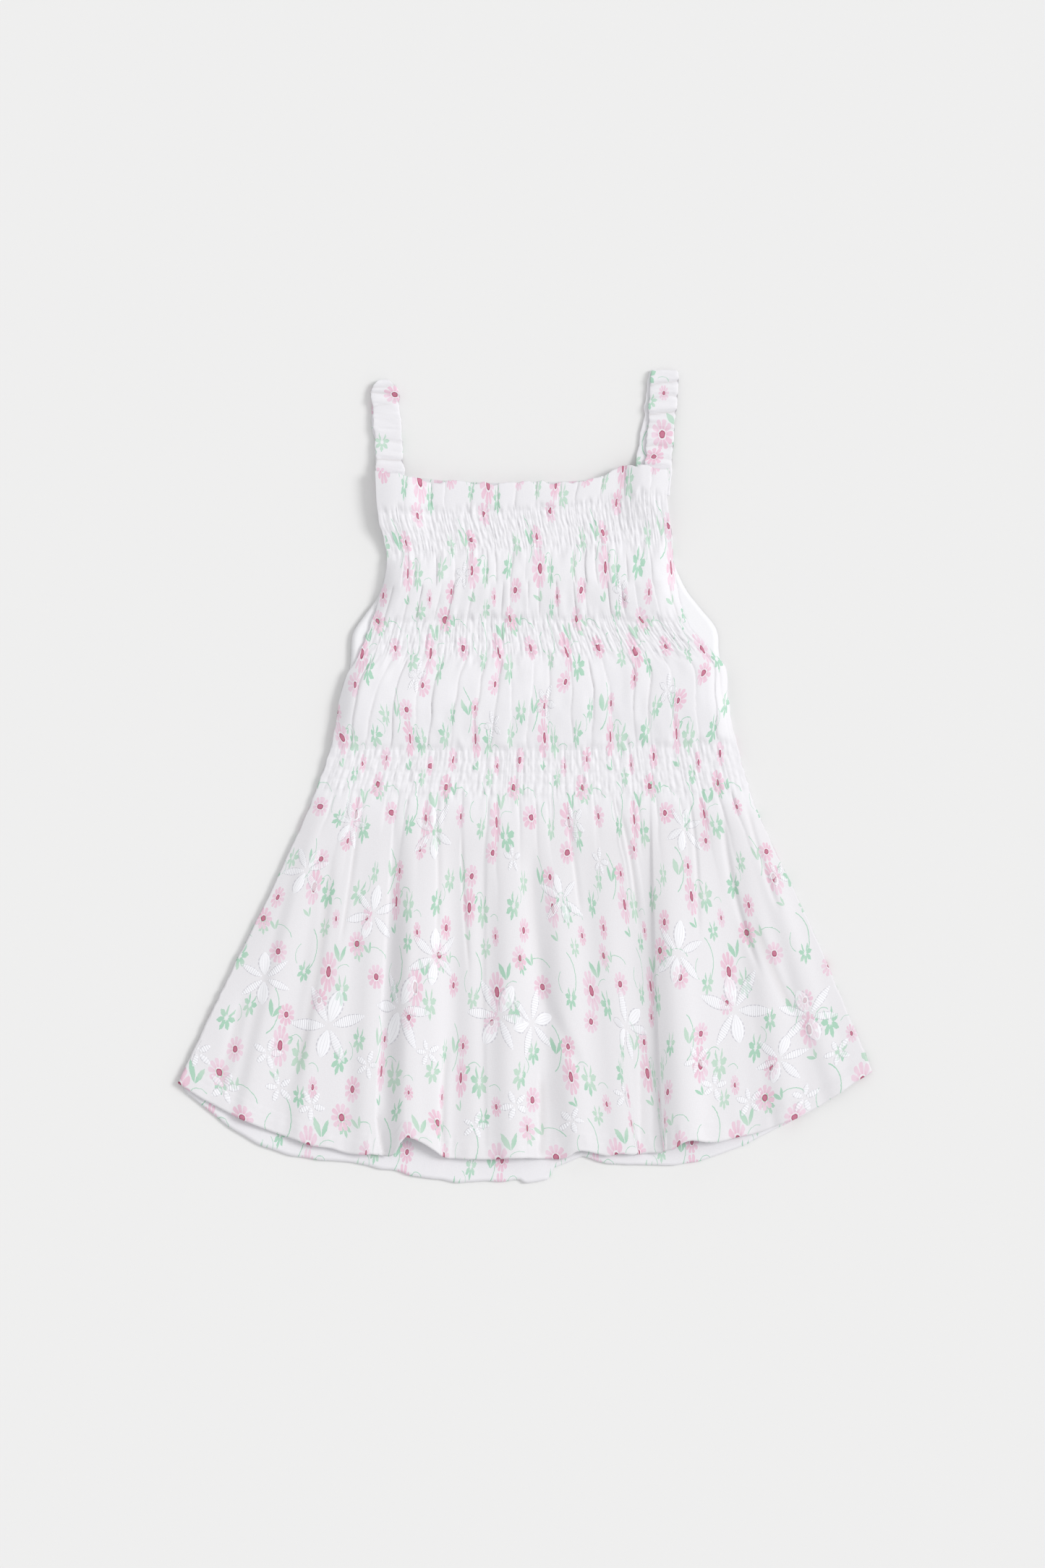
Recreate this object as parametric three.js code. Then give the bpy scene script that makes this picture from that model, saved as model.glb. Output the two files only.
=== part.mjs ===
// A small child's smocked sundress in printed cotton, laid flat with its front up.
// Sizes are millimetres. +X is the viewer's right, +Y runs from the hem to the straps and +Z is up
// from the surface that the dress lies on. The origin is under the middle of the dress's outline.
// The back lies face down, the bodice lining lies on it, and the front lies on both.
import * as THREE from "three";

// Cloth and stacking
const WALL = 1.2;
const LINING_WALL = 1.0;
const LAYER_GAP = 0.3;
const BACK_TOP = 1.6;
const BACK_GROOVE = 0.5;
const LINING_UNDER = BACK_TOP + LAYER_GAP;
const ON_LINING = LINING_UNDER + LINING_WALL + LAYER_GAP;
const ON_BACK = BACK_TOP + LAYER_GAP;
const EDGE_ROLL = 13;
const EDGE_RELIEF = 0.35;

// Smocking: elastic rows gather the cloth into small ribs, and wide pleats puff out between the bands.
const FRONT_GATHERS = 30;
const BACK_GATHERS = 14;
const RIB_POINTS = 3;
const GATHER_DEPTH = 1.7;
const STITCH_DEPTH = 0.6;
const PLEAT_DEPTH = 2.6;
const LOOSE_PLEAT_SHARE = 0.8;
const RIB_SHARPNESS = 0.7;
const BAND_FADE = 5;
const BANDS = [
  { name: "neck band", from: 18, to: 40, rows: 5 },
  { name: "chest band", from: 84, to: 105, rows: 4 },
  { name: "waist band", from: 163, to: 191, rows: 5 },
];
const NECK_EDGE_WAVES = 13;
const NECK_WAVE_HEIGHT = 2.4;
const NECK_SCALLOP = 1.2;
const SCALLOP_REACH = 12;
const NECK_LIFT = 1.4;

// Cross rows of the dress from the neck to the hem. down runs along the centre line from the neck
// edge, the ends of each row are its left and right x and y, mid is its y on the centre line, bow is
// how square its curve is, loft is how high the front's underside arches and rest is where its sides lie.
const FRONT_ROWS = [
  { down: 0, leftX: -91, leftY: 185, rightX: 88, rightY: 187, mid: 178, bow: 2.4, loft: 0.6, rest: ON_BACK },
  { down: 18, leftX: -90, leftY: 160, rightX: 86, rightY: 171, mid: 161, bow: 2, loft: 0.8, rest: ON_LINING },
  { down: 40, leftX: -84.5, leftY: 135, rightX: 89, rightY: 144, mid: 138.5, bow: 2, loft: 1, rest: ON_LINING },
  { down: 61, leftX: -87, leftY: 114, rightX: 92, rightY: 116, mid: 117.5, bow: 2, loft: 5, rest: ON_LINING },
  { down: 84, leftX: -94, leftY: 92.5, rightX: 98.5, rightY: 93, mid: 94.5, bow: 2, loft: 1.2, rest: ON_LINING },
  { down: 105, leftX: -101.5, leftY: 73, rightX: 113, rightY: 76, mid: 73.5, bow: 2, loft: 1.2, rest: ON_LINING },
  { down: 120, leftX: -110, leftY: 58, rightX: 121.5, rightY: 66, mid: 58.5, bow: 2, loft: 4.5, rest: ON_LINING },
  { down: 136, leftX: -114, leftY: 40, rightX: 123, rightY: 48, mid: 43, bow: 2, loft: 6, rest: ON_LINING },
  { down: 163, leftX: -118, leftY: 17.5, rightX: 128, rightY: 20, mid: 15.5, bow: 2, loft: 1.4, rest: ON_LINING },
  { down: 191, leftX: -127, leftY: -8, rightX: 136, rightY: -8, mid: -12.5, bow: 2, loft: 1.6, rest: ON_BACK },
  { down: 217, leftX: -135, leftY: -28, rightX: 143, rightY: -27, mid: -38.5, bow: 2, loft: 2.2, rest: ON_BACK },
  { down: 265, leftX: -153, leftY: -67, rightX: 161, rightY: -65, mid: -87, bow: 2.2, loft: 1.6, rest: ON_BACK },
  { down: 314, leftX: -172, leftY: -105, rightX: 179, rightY: -104, mid: -135.5, bow: 2.5, loft: 1.2, rest: ON_BACK },
  { down: 362, leftX: -191, leftY: -144, rightX: 195, rightY: -142, mid: -184, bow: 2.8, loft: 0.8, rest: ON_BACK },
  { down: 411, leftX: -211, leftY: -186, rightX: 211, rightY: -179, mid: -233, bow: 3.2, loft: 0.5, rest: ON_BACK },
];
const HEM = FRONT_ROWS.at(-1).down;
const HEADER_END = BANDS[0].from;
const WAIST_END = BANDS[2].to;

// The back shares the front's side seams. Its hem hangs lower in the middle and narrower at the corners.
const BACK_HEM = { down: HEM, leftX: -208, leftY: -191, rightX: 207, rightY: -173, mid: -246, bow: 3.2 };
const BACK_LAST_ROW_ABOVE = { down: 362, leftX: -190, leftY: -146, rightX: 193, rightY: -139, mid: -194, bow: 3 };
const BACK_ROWS = [...FRONT_ROWS.slice(0, -2), BACK_LAST_ROW_ABOVE, BACK_HEM];

// The bodice lining shows at both armholes, where it stands out past the gathered front.
const LINING_ROWS = [
  { down: 0, leftX: -86, leftY: 156, rightX: 84, rightY: 165, mid: 156, bow: 2 },
  { down: 25, leftX: -84, leftY: 131, rightX: 88.5, rightY: 135, mid: 131, bow: 2 },
  { down: 46, leftX: -89, leftY: 110, rightX: 97, rightY: 114, mid: 110, bow: 2 },
  { down: 60, leftX: -98, leftY: 97, rightX: 106, rightY: 102, mid: 96, bow: 2 },
  { down: 72, leftX: -105, leftY: 86, rightX: 116, rightY: 89, mid: 85, bow: 2 },
  { down: 84, leftX: -106, leftY: 72, rightX: 117.5, rightY: 75, mid: 72, bow: 2 },
  { down: 98, leftX: -107.5, leftY: 58, rightX: 119.5, rightY: 62, mid: 58, bow: 2 },
  { down: 139, leftX: -113, leftY: 17, rightX: 124, rightY: 19, mid: 17, bow: 2 },
];

// How the cloth spreads below the waist band. A thread of the cloth that leaves the band at the place
// waist ends at the place hem, both from 0 at the left seam to 1 at the right. The sides flare flat,
// the middle stays drawn up, and the two deepest folds swallow the threads that crowd together. columns
// is how many columns of faces run down from this place to the next.
const FLARE = [
  { waist: 0, hem: 0, columns: 16 },
  { waist: 0.22, hem: 0.28, columns: 5 },
  { waist: 0.275, hem: 0.305, columns: 30 },
  { waist: 0.66, hem: 0.662, columns: 9 },
  { waist: 0.795, hem: 0.713, columns: 14 },
  { waist: 1, hem: 1, columns: 0 },
];

// Folds that fall from the waist band to the front's hem. waist and hem are the crest's x at its two
// ends, left and right are how far its sides reach, rise is its height at the hem and tuck is how far
// it draws the hem up.
const SKIRT_FOLDS = [
  { waist: -121, hem: -172, left: 6, right: 16, rise: 3, tuck: 0 },
  { waist: -109, hem: -137, left: 8, right: 20, rise: 4, tuck: 0 },
  { waist: -92, hem: -112, left: 14, right: 15, rise: 3, tuck: 0 },
  { waist: -70, hem: -78, left: 9, right: 28, rise: 9, tuck: 13 },
  { waist: -57, hem: -58, left: 9, right: 12, rise: 2.5, tuck: 0 },
  { waist: -33, hem: -33, left: 11, right: 13, rise: 4.5, tuck: 0 },
  { waist: -11, hem: -12, left: 11, right: 16, rise: 7, tuck: 0 },
  { waist: 14, hem: 32, left: 13, right: 20, rise: 5.5, tuck: 4 },
  { waist: 44, hem: 58, left: 15, right: 15, rise: 3.5, tuck: 2 },
  { waist: 80, hem: 92, left: 11, right: 28, rise: 9, tuck: 5 },
  { waist: 104, hem: 124, left: 15, right: 15, rise: 3.5, tuck: 1 },
  { waist: 125, hem: 163, left: 7, right: 16, rise: 3.5, tuck: 0 },
  { waist: 131, hem: 192, left: 8, right: 10, rise: 2, tuck: 0 },
];
const TUCK_REACH = 70;
const FOLD_REACH = 110;
const GATHERS_FULL = 10;
const GATHERS_END = 45;
const HEM_TURN = 10;
const HEM_SLOPE = 3;
const HEM_EXTRA = 0.5;

// Where the back's hem is caught up: a long shallow rise, and the arch beside the middle. at and half
// are its middle and half width across the row, and reach is how far up the skirt it runs.
const BACK_TUCKS = [
  { at: 0.26, half: 0.17, tuck: 7.5, reach: 90 },
  { at: 0.57, half: 0.034, tuck: 13, reach: 45 },
];

// The neck edge stands a little higher beside the right strap.
const NECK_RISE = { at: 0.87, half: 0.13, tuck: 6.5, reach: 24 };

// Straps: each is a gathered elastic band that runs up from the front, folds over and lies back on itself.
const STRAP_THICKNESS = 2.2;
const STRAP_GATHERS = 5;
const STRAP_GATHER_DEPTH = 0.5;
const STRAP_EDGE_WAVE = 0.5;
const STRAP_STEP = 4;
const STRAP_TURN_STEPS = 6;
const STRAP_RING = 10;
const STRAP_SQUARENESS = 0.35;
const STRAP_RAMP = BACK_TOP + LAYER_GAP;
const STRAP_RAMP_FROM = 189;
const STRAP_RAMP_LENGTH = 8;
const STRAP_LIFT = 4;
const LIFT_REACH = 15;
const LIFT_FLAT_SHARE = 0.6;
const LIFT_END = { from: 21, to: 38 };
const STRAPS = [
  {
    name: "strap_left",
    width: 18,
    foldY: 241,
    rows: [
      { y: 161.5, front: -81.4, back: -81 },
      { y: 190, front: -82.5, back: -82.6 },
      { y: 215, front: -84, back: -84.6 },
      { y: 241, front: -86.3, back: -86.3 },
    ],
  },
  {
    name: "strap_right",
    width: 17.5,
    foldY: 247,
    rows: [
      { y: 170, front: 78.6, back: 73.5 },
      { y: 190, front: 80.7, back: 75.8 },
      { y: 209, front: 82.2, back: 78.4 },
      { y: 223, front: 83.4, back: 80.6 },
      { y: 247, front: 84.9, back: 83.4 },
    ],
  },
];

const clamp = (t) => Math.min(1, Math.max(0, t));
const smooth = (from, to, at) => {
  const t = clamp((at - from) / (to - from));
  return t * t * (3 - 2 * t);
};

// How far an edge is drawn up at a place across it.
const drawnUp = ({ at, half, tuck }, u) =>
  tuck * (0.5 + 0.5 * Math.cos(Math.PI * Math.min(1, Math.abs(u - at) / half)));

// A column's value at a distance down, on a smooth curve through the table's rows.
function read(rows, column, down, along = "down") {
  let i = rows.findIndex((row) => row[along] > down) - 1;
  if (i < 0) i = down <= rows[0][along] ? 0 : rows.length - 2;
  const [a, b] = [rows[i], rows[i + 1]];
  const before = rows[Math.max(0, i - 1)];
  const after = rows[Math.min(rows.length - 1, i + 2)];
  const slopeA = (b[column] - before[column]) / (b[along] - before[along]);
  const slopeB = (after[column] - a[column]) / (after[along] - a[along]);
  const span = b[along] - a[along];
  const t = clamp((down - a[along]) / span);
  const rise = t * t * (3 - 2 * t);
  return (
    a[column] * (1 - rise) +
    b[column] * rise +
    span * t * (1 - t) * ((1 - t) * slopeA - t * slopeB)
  );
}

// Where a point of a panel lies seen from above: u runs from 0 at the left edge to 1 at the right.
function plan(rows, u, down) {
  const value = (column) => read(rows, column, down);
  const [leftY, rightY] = [value("leftY"), value("rightY")];
  const sag = value("mid") - (leftY + rightY) / 2;
  return {
    x: value("leftX") + (value("rightX") - value("leftX")) * u,
    y: leftY + (rightY - leftY) * u + sag * (1 - Math.abs(2 * u - 1) ** value("bow")),
  };
}

// The share of full height near a side edge, where the cloth rolls down.
function edgeRoll(rows, u, down) {
  const width = read(rows, "rightX", down) - read(rows, "leftX", down);
  return Math.sin((Math.PI / 2) * clamp((Math.min(u, 1 - u) * width) / EDGE_ROLL));
}

// Gathers are numbered across the panel, and are a little uneven in width.
const gatherNumber = (u, count) =>
  count * u + 0.3 * Math.sin(2 * Math.PI * 2.3 * u) + 0.12 * Math.sin(2 * Math.PI * 6 * u);

function placeOfGather(number, count) {
  let u = number / count;
  for (let i = 0; i < 12; i++) u += (number - gatherNumber(u, count)) / count;
  return clamp(u);
}

// A rib's cross-section: 0 in the crease and 1 on its rounded crest.
const rib = (number) => Math.abs(Math.sin(Math.PI * number)) ** RIB_SHARPNESS;

const inBand = (down) =>
  Math.max(
    ...BANDS.map((b) => smooth(b.from - BAND_FADE, b.from, down) * (1 - smooth(b.to, b.to + BAND_FADE, down))),
  );

// 1 on a row of elastic stitching and 0 halfway between two rows.
function onStitch(down) {
  const band = BANDS.find((b) => down > b.from - 1 && down < b.to + 1);
  if (!band) return 0;
  const row = ((down - band.from) / (band.to - band.from)) * (band.rows - 1);
  return 0.5 + 0.5 * Math.cos(2 * Math.PI * row);
}

// The place across a row that a thread of the cloth has reached.
function flared(thread, down) {
  const t = clamp((down - WAIST_END) / (HEM - WAIST_END));
  const next = FLARE.findIndex((stop) => stop.waist >= thread && stop.waist > 0);
  const [a, b] = [FLARE[next - 1], FLARE[next]];
  const hem = a.hem + ((b.hem - a.hem) * (thread - a.waist)) / (b.waist - a.waist);
  return thread + (hem - thread) * t;
}

// Height of the folds over the skirt, and how far they draw the hem up.
function skirtFolds(x, down) {
  const t = (down - WAIST_END) / (HEM - WAIST_END);
  if (t <= 0) return { height: 0, tuck: 0 };
  let [height, tuck] = [0, 0];
  for (const fold of SKIRT_FOLDS) {
    const off = x - (fold.waist + (fold.hem - fold.waist) * t);
    const across = off / (off < 0 ? fold.left : fold.right);
    if (Math.abs(across) >= 1) continue;
    const shape = 0.5 + 0.5 * Math.cos(Math.PI * across);
    height += fold.rise * shape * smooth(0, FOLD_REACH, down - WAIST_END);
    tuck += fold.tuck * shape * smooth(HEM - TUCK_REACH, HEM, down);
  }
  return { height, tuck };
}

// The front is lifted over the strap ends that are sewn inside its neck edge.
function overStrap(x, down) {
  const near = (centre) => 1 - smooth(LIFT_FLAT_SHARE, 1, Math.abs(x - centre) / LIFT_REACH);
  const share = Math.max(...STRAPS.map((s) => near(s.rows[1].front)));
  return STRAP_LIFT * share * (1 - smooth(LIFT_END.from, LIFT_END.to, down));
}

// Plain height of the front's underside.
function frontUnder(thread, down) {
  const u = flared(thread, down);
  const { x } = plan(FRONT_ROWS, u, down);
  const roll = edgeRoll(FRONT_ROWS, u, down);
  const { height } = skirtFolds(x, down);
  const arch = read(FRONT_ROWS, "loft", down) * roll;
  const lift = overStrap(x, down) + NECK_LIFT * (1 - smooth(0, HEADER_END, down));
  return read(FRONT_ROWS, "rest", down) + arch + height * roll + lift;
}

// Ribs in the bands, wide pleats in the puffs, and gathers that fade out down the skirt.
function frontRelief(thread, down) {
  const number = gatherNumber(thread, FRONT_GATHERS);
  const band = inBand(down);
  const below = down - WAIST_END;
  const belowWaist = smooth(0, GATHERS_FULL, below) * (1 - smooth(GATHERS_FULL, GATHERS_END, below));
  const puffs = down < HEADER_END || below > 0 ? belowWaist * LOOSE_PLEAT_SHARE : 1;
  const ribs = band * (GATHER_DEPTH - STITCH_DEPTH * onStitch(down)) * rib(number);
  const pleats = (1 - band) * puffs * PLEAT_DEPTH * rib(number / 2);
  const neck = 1 - smooth(0, HEADER_END, down);
  const wave = neck * NECK_WAVE_HEIGHT * (0.5 - 0.5 * Math.cos(2 * Math.PI * NECK_EDGE_WAVES * thread));
  const hem = HEM_EXTRA * smooth(HEM - HEM_TURN - HEM_SLOPE, HEM - HEM_TURN, down);
  return ribs + pleats + wave + hem;
}

function frontPlace(thread, down) {
  const { x, y } = plan(FRONT_ROWS, flared(thread, down), down);
  const atEdge = 1 - smooth(0, SCALLOP_REACH, down);
  const scallop = NECK_SCALLOP * Math.cos(4 * Math.PI * NECK_EDGE_WAVES * thread) * atEdge;
  const neck = drawnUp(NECK_RISE, thread) * (1 - smooth(0, NECK_RISE.reach, down));
  return { x, y: y + scallop + neck + skirtFolds(x, down).tuck };
}

function frontTopPoint(thread, down) {
  const { x, y } = frontPlace(thread, down);
  const roll = EDGE_RELIEF + (1 - EDGE_RELIEF) * edgeRoll(FRONT_ROWS, flared(thread, down), down);
  return new THREE.Vector3(x, y, frontUnder(thread, down) + WALL + frontRelief(thread, down) * roll);
}

function frontUnderPoint(thread, down) {
  const { x, y } = frontPlace(thread, down);
  return new THREE.Vector3(x, y, frontUnder(thread, down));
}

function backPlace(u, down) {
  let { x, y } = plan(BACK_ROWS, u, down);
  for (const tuck of BACK_TUCKS) y += drawnUp(tuck, u) * smooth(HEM - tuck.reach, HEM, down);
  return { x, y };
}

// The back's outer face lies on the surface. Its ribs touch it and its creases are shallow grooves.
function backUnderPoint(u, down) {
  const { x, y } = backPlace(u, down);
  const groove = inBand(down) * BACK_GROOVE * (1 - rib(gatherNumber(u, BACK_GATHERS)));
  return new THREE.Vector3(x, y, groove);
}

function backTopPoint(u, down) {
  const { x, y } = backPlace(u, down);
  return new THREE.Vector3(x, y, BACK_TOP);
}

const liningPoint = (z) => (u, down) => {
  const { x, y } = plan(LINING_ROWS, u, down);
  return new THREE.Vector3(x, y, z);
};

// A closed wall: a sheet of rows facing up, a sheet of rows facing down, and a rim all round.
// Each row is { down, points: [{ u, at }] }, and rows may have different numbers of points.
class Wall {
  constructor() {
    this.positions = [];
    this.index = [];
  }

  add(row) {
    return row.points.map(({ u, at }) => {
      this.positions.push(at.x, at.y, at.z);
      return { along: u, id: this.positions.length / 3 - 1 };
    });
  }

  // Triangles between two lines of points, taken in step along them.
  zip(a, b) {
    let [i, j] = [0, 0];
    while (i < a.length - 1 || j < b.length - 1) {
      const stepA = i < a.length - 1 ? a[i + 1].along : Infinity;
      const stepB = j < b.length - 1 ? b[j + 1].along : Infinity;
      if (stepA <= stepB) this.index.push(a[i].id, b[j].id, a[++i].id);
      else this.index.push(a[i].id, b[j].id, b[++j].id);
    }
  }

  build(topRows, underRows) {
    const [top, under] = [topRows.map((r) => this.add(r)), underRows.map((r) => this.add(r))];
    for (let i = 1; i < top.length; i++) this.zip(top[i - 1], top[i]);
    for (let i = 1; i < under.length; i++) this.zip(under[i], under[i - 1]);
    this.zip(under[0], top[0]);
    this.zip(top.at(-1), under.at(-1));
    const side = (lines, rows, end) => lines.map((l, i) => ({ along: rows[i].down, id: l.at(end).id }));
    this.zip(side(top, topRows, 0), side(under, underRows, 0));
    this.zip(side(under, underRows, -1), side(top, topRows, -1));
    return geometryOf(this.positions, this.index);
  }
}

function geometryOf(positions, index) {
  const geometry = new THREE.BufferGeometry();
  geometry.setAttribute("position", new THREE.Float32BufferAttribute(positions, 3));
  geometry.setIndex(index);
  geometry.computeVertexNormals();
  return geometry;
}

// Evenly spaced values from one end to the other.
const steps = (from, to, count) =>
  Array.from({ length: count + 1 }, (_, i) => from + ((to - from) * i) / count);
const rowOf = (point, down, places) => ({ down, points: places.map((u) => ({ u, at: point(u, down) })) });
const placesOfRibs = (count, perRib, width = 1) =>
  steps(0, count, (count / width) * perRib).map((number) => placeOfGather(number, count));

// Places across a plain sheet, closer together where the edges roll down, and across the back, closer
// together round the arch in its hem.
const plainPlaces = [0, 0.02, 0.045, ...steps(0.08, 0.92, 18), 0.955, 0.98, 1];
const backPlaces = [
  0, 0.02, 0.05, ...steps(0.1, 0.5, 8), ...steps(0.53, 0.61, 6), ...steps(0.66, 0.9, 5), 0.95, 0.98, 1,
];

// Threads down the skirt.
const skirtThreads = FLARE.flatMap((stop, i) =>
  i ? steps(FLARE[i - 1].waist, stop.waist, FLARE[i - 1].columns).slice(1) : [0]);

// Rows of a band: every row of stitching and the rib between it and the next.
const bandRows = ({ from, to, rows }) => steps(from, to, 2 * (rows - 1));

// Cross rows of faces, as distances down the front and the back.
const HEADER_ROWS = [0, 6, 12];
const UPPER_PUFF_ROWS = [46, 54, 62, 70, 78];
const LOWER_PUFF_ROWS = [111, 120, 134, 148, 157];
const BELOW_WAIST_ROW = 198;
const SKIRT_ROWS = [212, 232, 255, 280, 305, 330, 353, 374, 390, 401, HEM];
const PLAIN_BODICE_ROWS = [
  0, 9, 18, 29, 40, 47, 54, 62, 70, 77, 84, 95, 105, 112, 120, 134, 148, 156, 163, 177, 191, 200,
];
const BACK_SKIRT_ROWS = [212, 240, 275, 310, 345, 372, 392, HEM];

function frontGeometry() {
  const ribPlaces = placesOfRibs(FRONT_GATHERS, RIB_POINTS);
  const pleatPlaces = placesOfRibs(FRONT_GATHERS, 4, 2);
  const top = (down, places) => rowOf(frontTopPoint, down, places);
  const under = (down, places) => rowOf(frontUnderPoint, down, places);
  const bands = BANDS.map((b) => bandRows(b).map((down) => top(down, ribPlaces)));
  const pleats = (downs) => downs.map((down) => top(down, pleatPlaces));
  const topRows = [
    ...HEADER_ROWS.map((down) => top(down, steps(0, 1, NECK_EDGE_WAVES * 4))),
    ...bands[0],
    ...pleats(UPPER_PUFF_ROWS),
    ...bands[1],
    ...pleats(LOWER_PUFF_ROWS),
    ...bands[2],
    ...pleats([BELOW_WAIST_ROW]),
    ...SKIRT_ROWS.map((down) => top(down, skirtThreads)),
  ];
  const underRows = [
    ...PLAIN_BODICE_ROWS.map((down) => under(down, plainPlaces)),
    ...SKIRT_ROWS.map((down) => under(down, skirtThreads)),
  ];
  return new Wall().build(topRows, underRows);
}

function backGeometry() {
  const ribPlaces = placesOfRibs(BACK_GATHERS, RIB_POINTS);
  const under = (down, places) => rowOf(backUnderPoint, down, places);
  const top = (down) => rowOf(backTopPoint, down, backPlaces);
  const between = (downs) => downs.map((down) => under(down, backPlaces));
  const bands = BANDS.map((b) => steps(b.from, b.to, 2).map((down) => under(down, ribPlaces)));
  const underRows = [
    ...between([0, 12]),
    ...bands[0],
    ...between([46, 62, 78]),
    ...bands[1],
    ...between([111, 120, 136, 157]),
    ...bands[2],
    ...between([BELOW_WAIST_ROW, ...BACK_SKIRT_ROWS]),
  ];
  const bodiceRows = FRONT_ROWS.map((row) => row.down).filter((down) => down <= WAIST_END);
  return new Wall().build([...bodiceRows, ...BACK_SKIRT_ROWS].map(top), underRows);
}

function liningGeometry() {
  const places = steps(0, 1, 10);
  const downs = steps(0, LINING_ROWS.at(-1).down, 14);
  const rows = (z) => downs.map((down) => rowOf(liningPoint(z), down, places));
  return new Wall().build(rows(LINING_UNDER + LINING_WALL), rows(LINING_UNDER));
}

// Stations along a strap: up the front leg, round the fold, and down the back leg. Each has the
// centre and the direction that the strap's outer face looks in.
function strapStations({ foldY, rows }) {
  const backZ = STRAP_THICKNESS / 2;
  const bend = (STRAP_THICKNESS + LAYER_GAP) / 2;
  const turnY = foldY - bend - STRAP_THICKNESS / 2;
  const count = Math.round((turnY - rows[0].y) / STRAP_STEP);
  const overBack = (y) => STRAP_RAMP * (1 - smooth(STRAP_RAMP_FROM, STRAP_RAMP_FROM + STRAP_RAMP_LENGTH, y));
  const leg = (side, y, z, facing) => ({
    centre: new THREE.Vector3(read(rows, side, y, "y"), y, z + overBack(y)),
    out: new THREE.Vector3(0, 0, facing),
  });
  const up = steps(rows[0].y, turnY, count).map((y) => leg("front", y, backZ + 2 * bend, 1));
  const down = steps(turnY, rows[0].y, count).map((y) => leg("back", y, backZ, -1));
  const turn = steps(0, Math.PI, STRAP_TURN_STEPS).slice(1, -1).map((angle) => {
    const out = new THREE.Vector3(0, Math.sin(angle), Math.cos(angle));
    const centre = up.at(-1).centre.clone().lerp(down[0].centre, angle / Math.PI);
    centre.z = backZ + bend;
    return { centre: centre.addScaledVector(out, bend), out };
  });
  return [...up, ...turn, ...down];
}

// A band of rounded section along the stations, with shallow gathers across its outer face.
function strapGeometry(strap) {
  const stations = strapStations(strap);
  const [positions, index] = [[], []];
  const shape = (value) => Math.sign(value) * Math.abs(value) ** STRAP_SQUARENESS;
  stations.forEach(({ centre, out }, i) => {
    const gather = rib((i / (stations.length - 1)) * 2 * STRAP_GATHERS);
    const width = strap.width / 2 - STRAP_EDGE_WAVE * gather;
    for (let k = 0; k < STRAP_RING; k++) {
      const angle = (2 * Math.PI * k) / STRAP_RING;
      const rise = shape(Math.sin(angle));
      const groove = rise > 0 ? STRAP_GATHER_DEPTH * (1 - gather) : 0;
      const point = centre.clone().addScaledVector(out, rise * (STRAP_THICKNESS / 2 - groove));
      positions.push(point.x + shape(Math.cos(angle)) * width, point.y, point.z);
    }
  });
  const ring = (i, k) => i * STRAP_RING + (k % STRAP_RING);
  for (let i = 0; i < stations.length - 1; i++)
    for (let k = 0; k < STRAP_RING; k++) {
      index.push(ring(i, k), ring(i + 1, k), ring(i + 1, k + 1));
      index.push(ring(i, k), ring(i + 1, k + 1), ring(i, k + 1));
    }
  const last = stations.length - 1;
  for (let k = 1; k < STRAP_RING - 1; k++) {
    index.push(ring(0, 0), ring(0, k), ring(0, k + 1));
    index.push(ring(last, 0), ring(last, k + 1), ring(last, k));
  }
  return geometryOf(positions, index);
}

const printedCotton = new THREE.MeshStandardMaterial({ color: 0xf3eef1, roughness: 0.85, metalness: 0 });
const liningCotton = new THREE.MeshStandardMaterial({ color: 0xf7f6f7, roughness: 0.9, metalness: 0 });

function piece(name, geometry, material) {
  const mesh = new THREE.Mesh(geometry, material);
  mesh.name = name;
  return mesh;
}

const dress = new THREE.Group();
dress.add(piece("front", frontGeometry(), printedCotton));
dress.add(piece("back", backGeometry(), printedCotton));
dress.add(piece("bodice_lining", liningGeometry(), liningCotton));
for (const strap of STRAPS) dress.add(piece(strap.name, strapGeometry(strap), printedCotton));

export default dress;
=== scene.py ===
"""A small child's smocked sundress in printed and embroidered cotton, laid flat on a pale floor.

Sizes are millimetres until a mesh is made. +X is the viewer's right, +Y runs from the hem to the
straps and +Z is up from the floor, as in the frame.
"""

import math

import bpy
import numpy as np
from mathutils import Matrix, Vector


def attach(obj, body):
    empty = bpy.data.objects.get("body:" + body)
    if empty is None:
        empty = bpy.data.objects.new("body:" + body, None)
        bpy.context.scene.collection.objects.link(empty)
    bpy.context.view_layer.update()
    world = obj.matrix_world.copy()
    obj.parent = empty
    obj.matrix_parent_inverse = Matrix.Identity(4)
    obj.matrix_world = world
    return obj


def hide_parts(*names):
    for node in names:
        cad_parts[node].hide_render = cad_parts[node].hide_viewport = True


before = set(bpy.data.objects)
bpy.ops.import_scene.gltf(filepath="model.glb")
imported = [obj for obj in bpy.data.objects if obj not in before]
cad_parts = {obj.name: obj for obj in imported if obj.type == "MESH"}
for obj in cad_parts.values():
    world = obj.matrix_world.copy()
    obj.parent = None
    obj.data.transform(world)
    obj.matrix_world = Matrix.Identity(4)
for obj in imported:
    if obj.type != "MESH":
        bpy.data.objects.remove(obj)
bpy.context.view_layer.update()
MM = 0.001

# Cloth and stacking
WALL = 1.2
LINING_WALL = 1.0
LAYER_GAP = 0.3
BACK_TOP = 1.6
BACK_GROOVE = 0.5
LINING_UNDER = BACK_TOP + LAYER_GAP
ON_LINING = LINING_UNDER + LINING_WALL + LAYER_GAP
ON_BACK = BACK_TOP + LAYER_GAP
EDGE_ROLL = 13
EDGE_RELIEF = 0.35


def table(names, *lines):
    """Named columns of numbers, from lines of text with commas between the rows."""
    rows = [row.split() for row in ",".join(lines).split(",")]
    return dict(zip(names.split(), np.array(rows, float).T))


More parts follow.
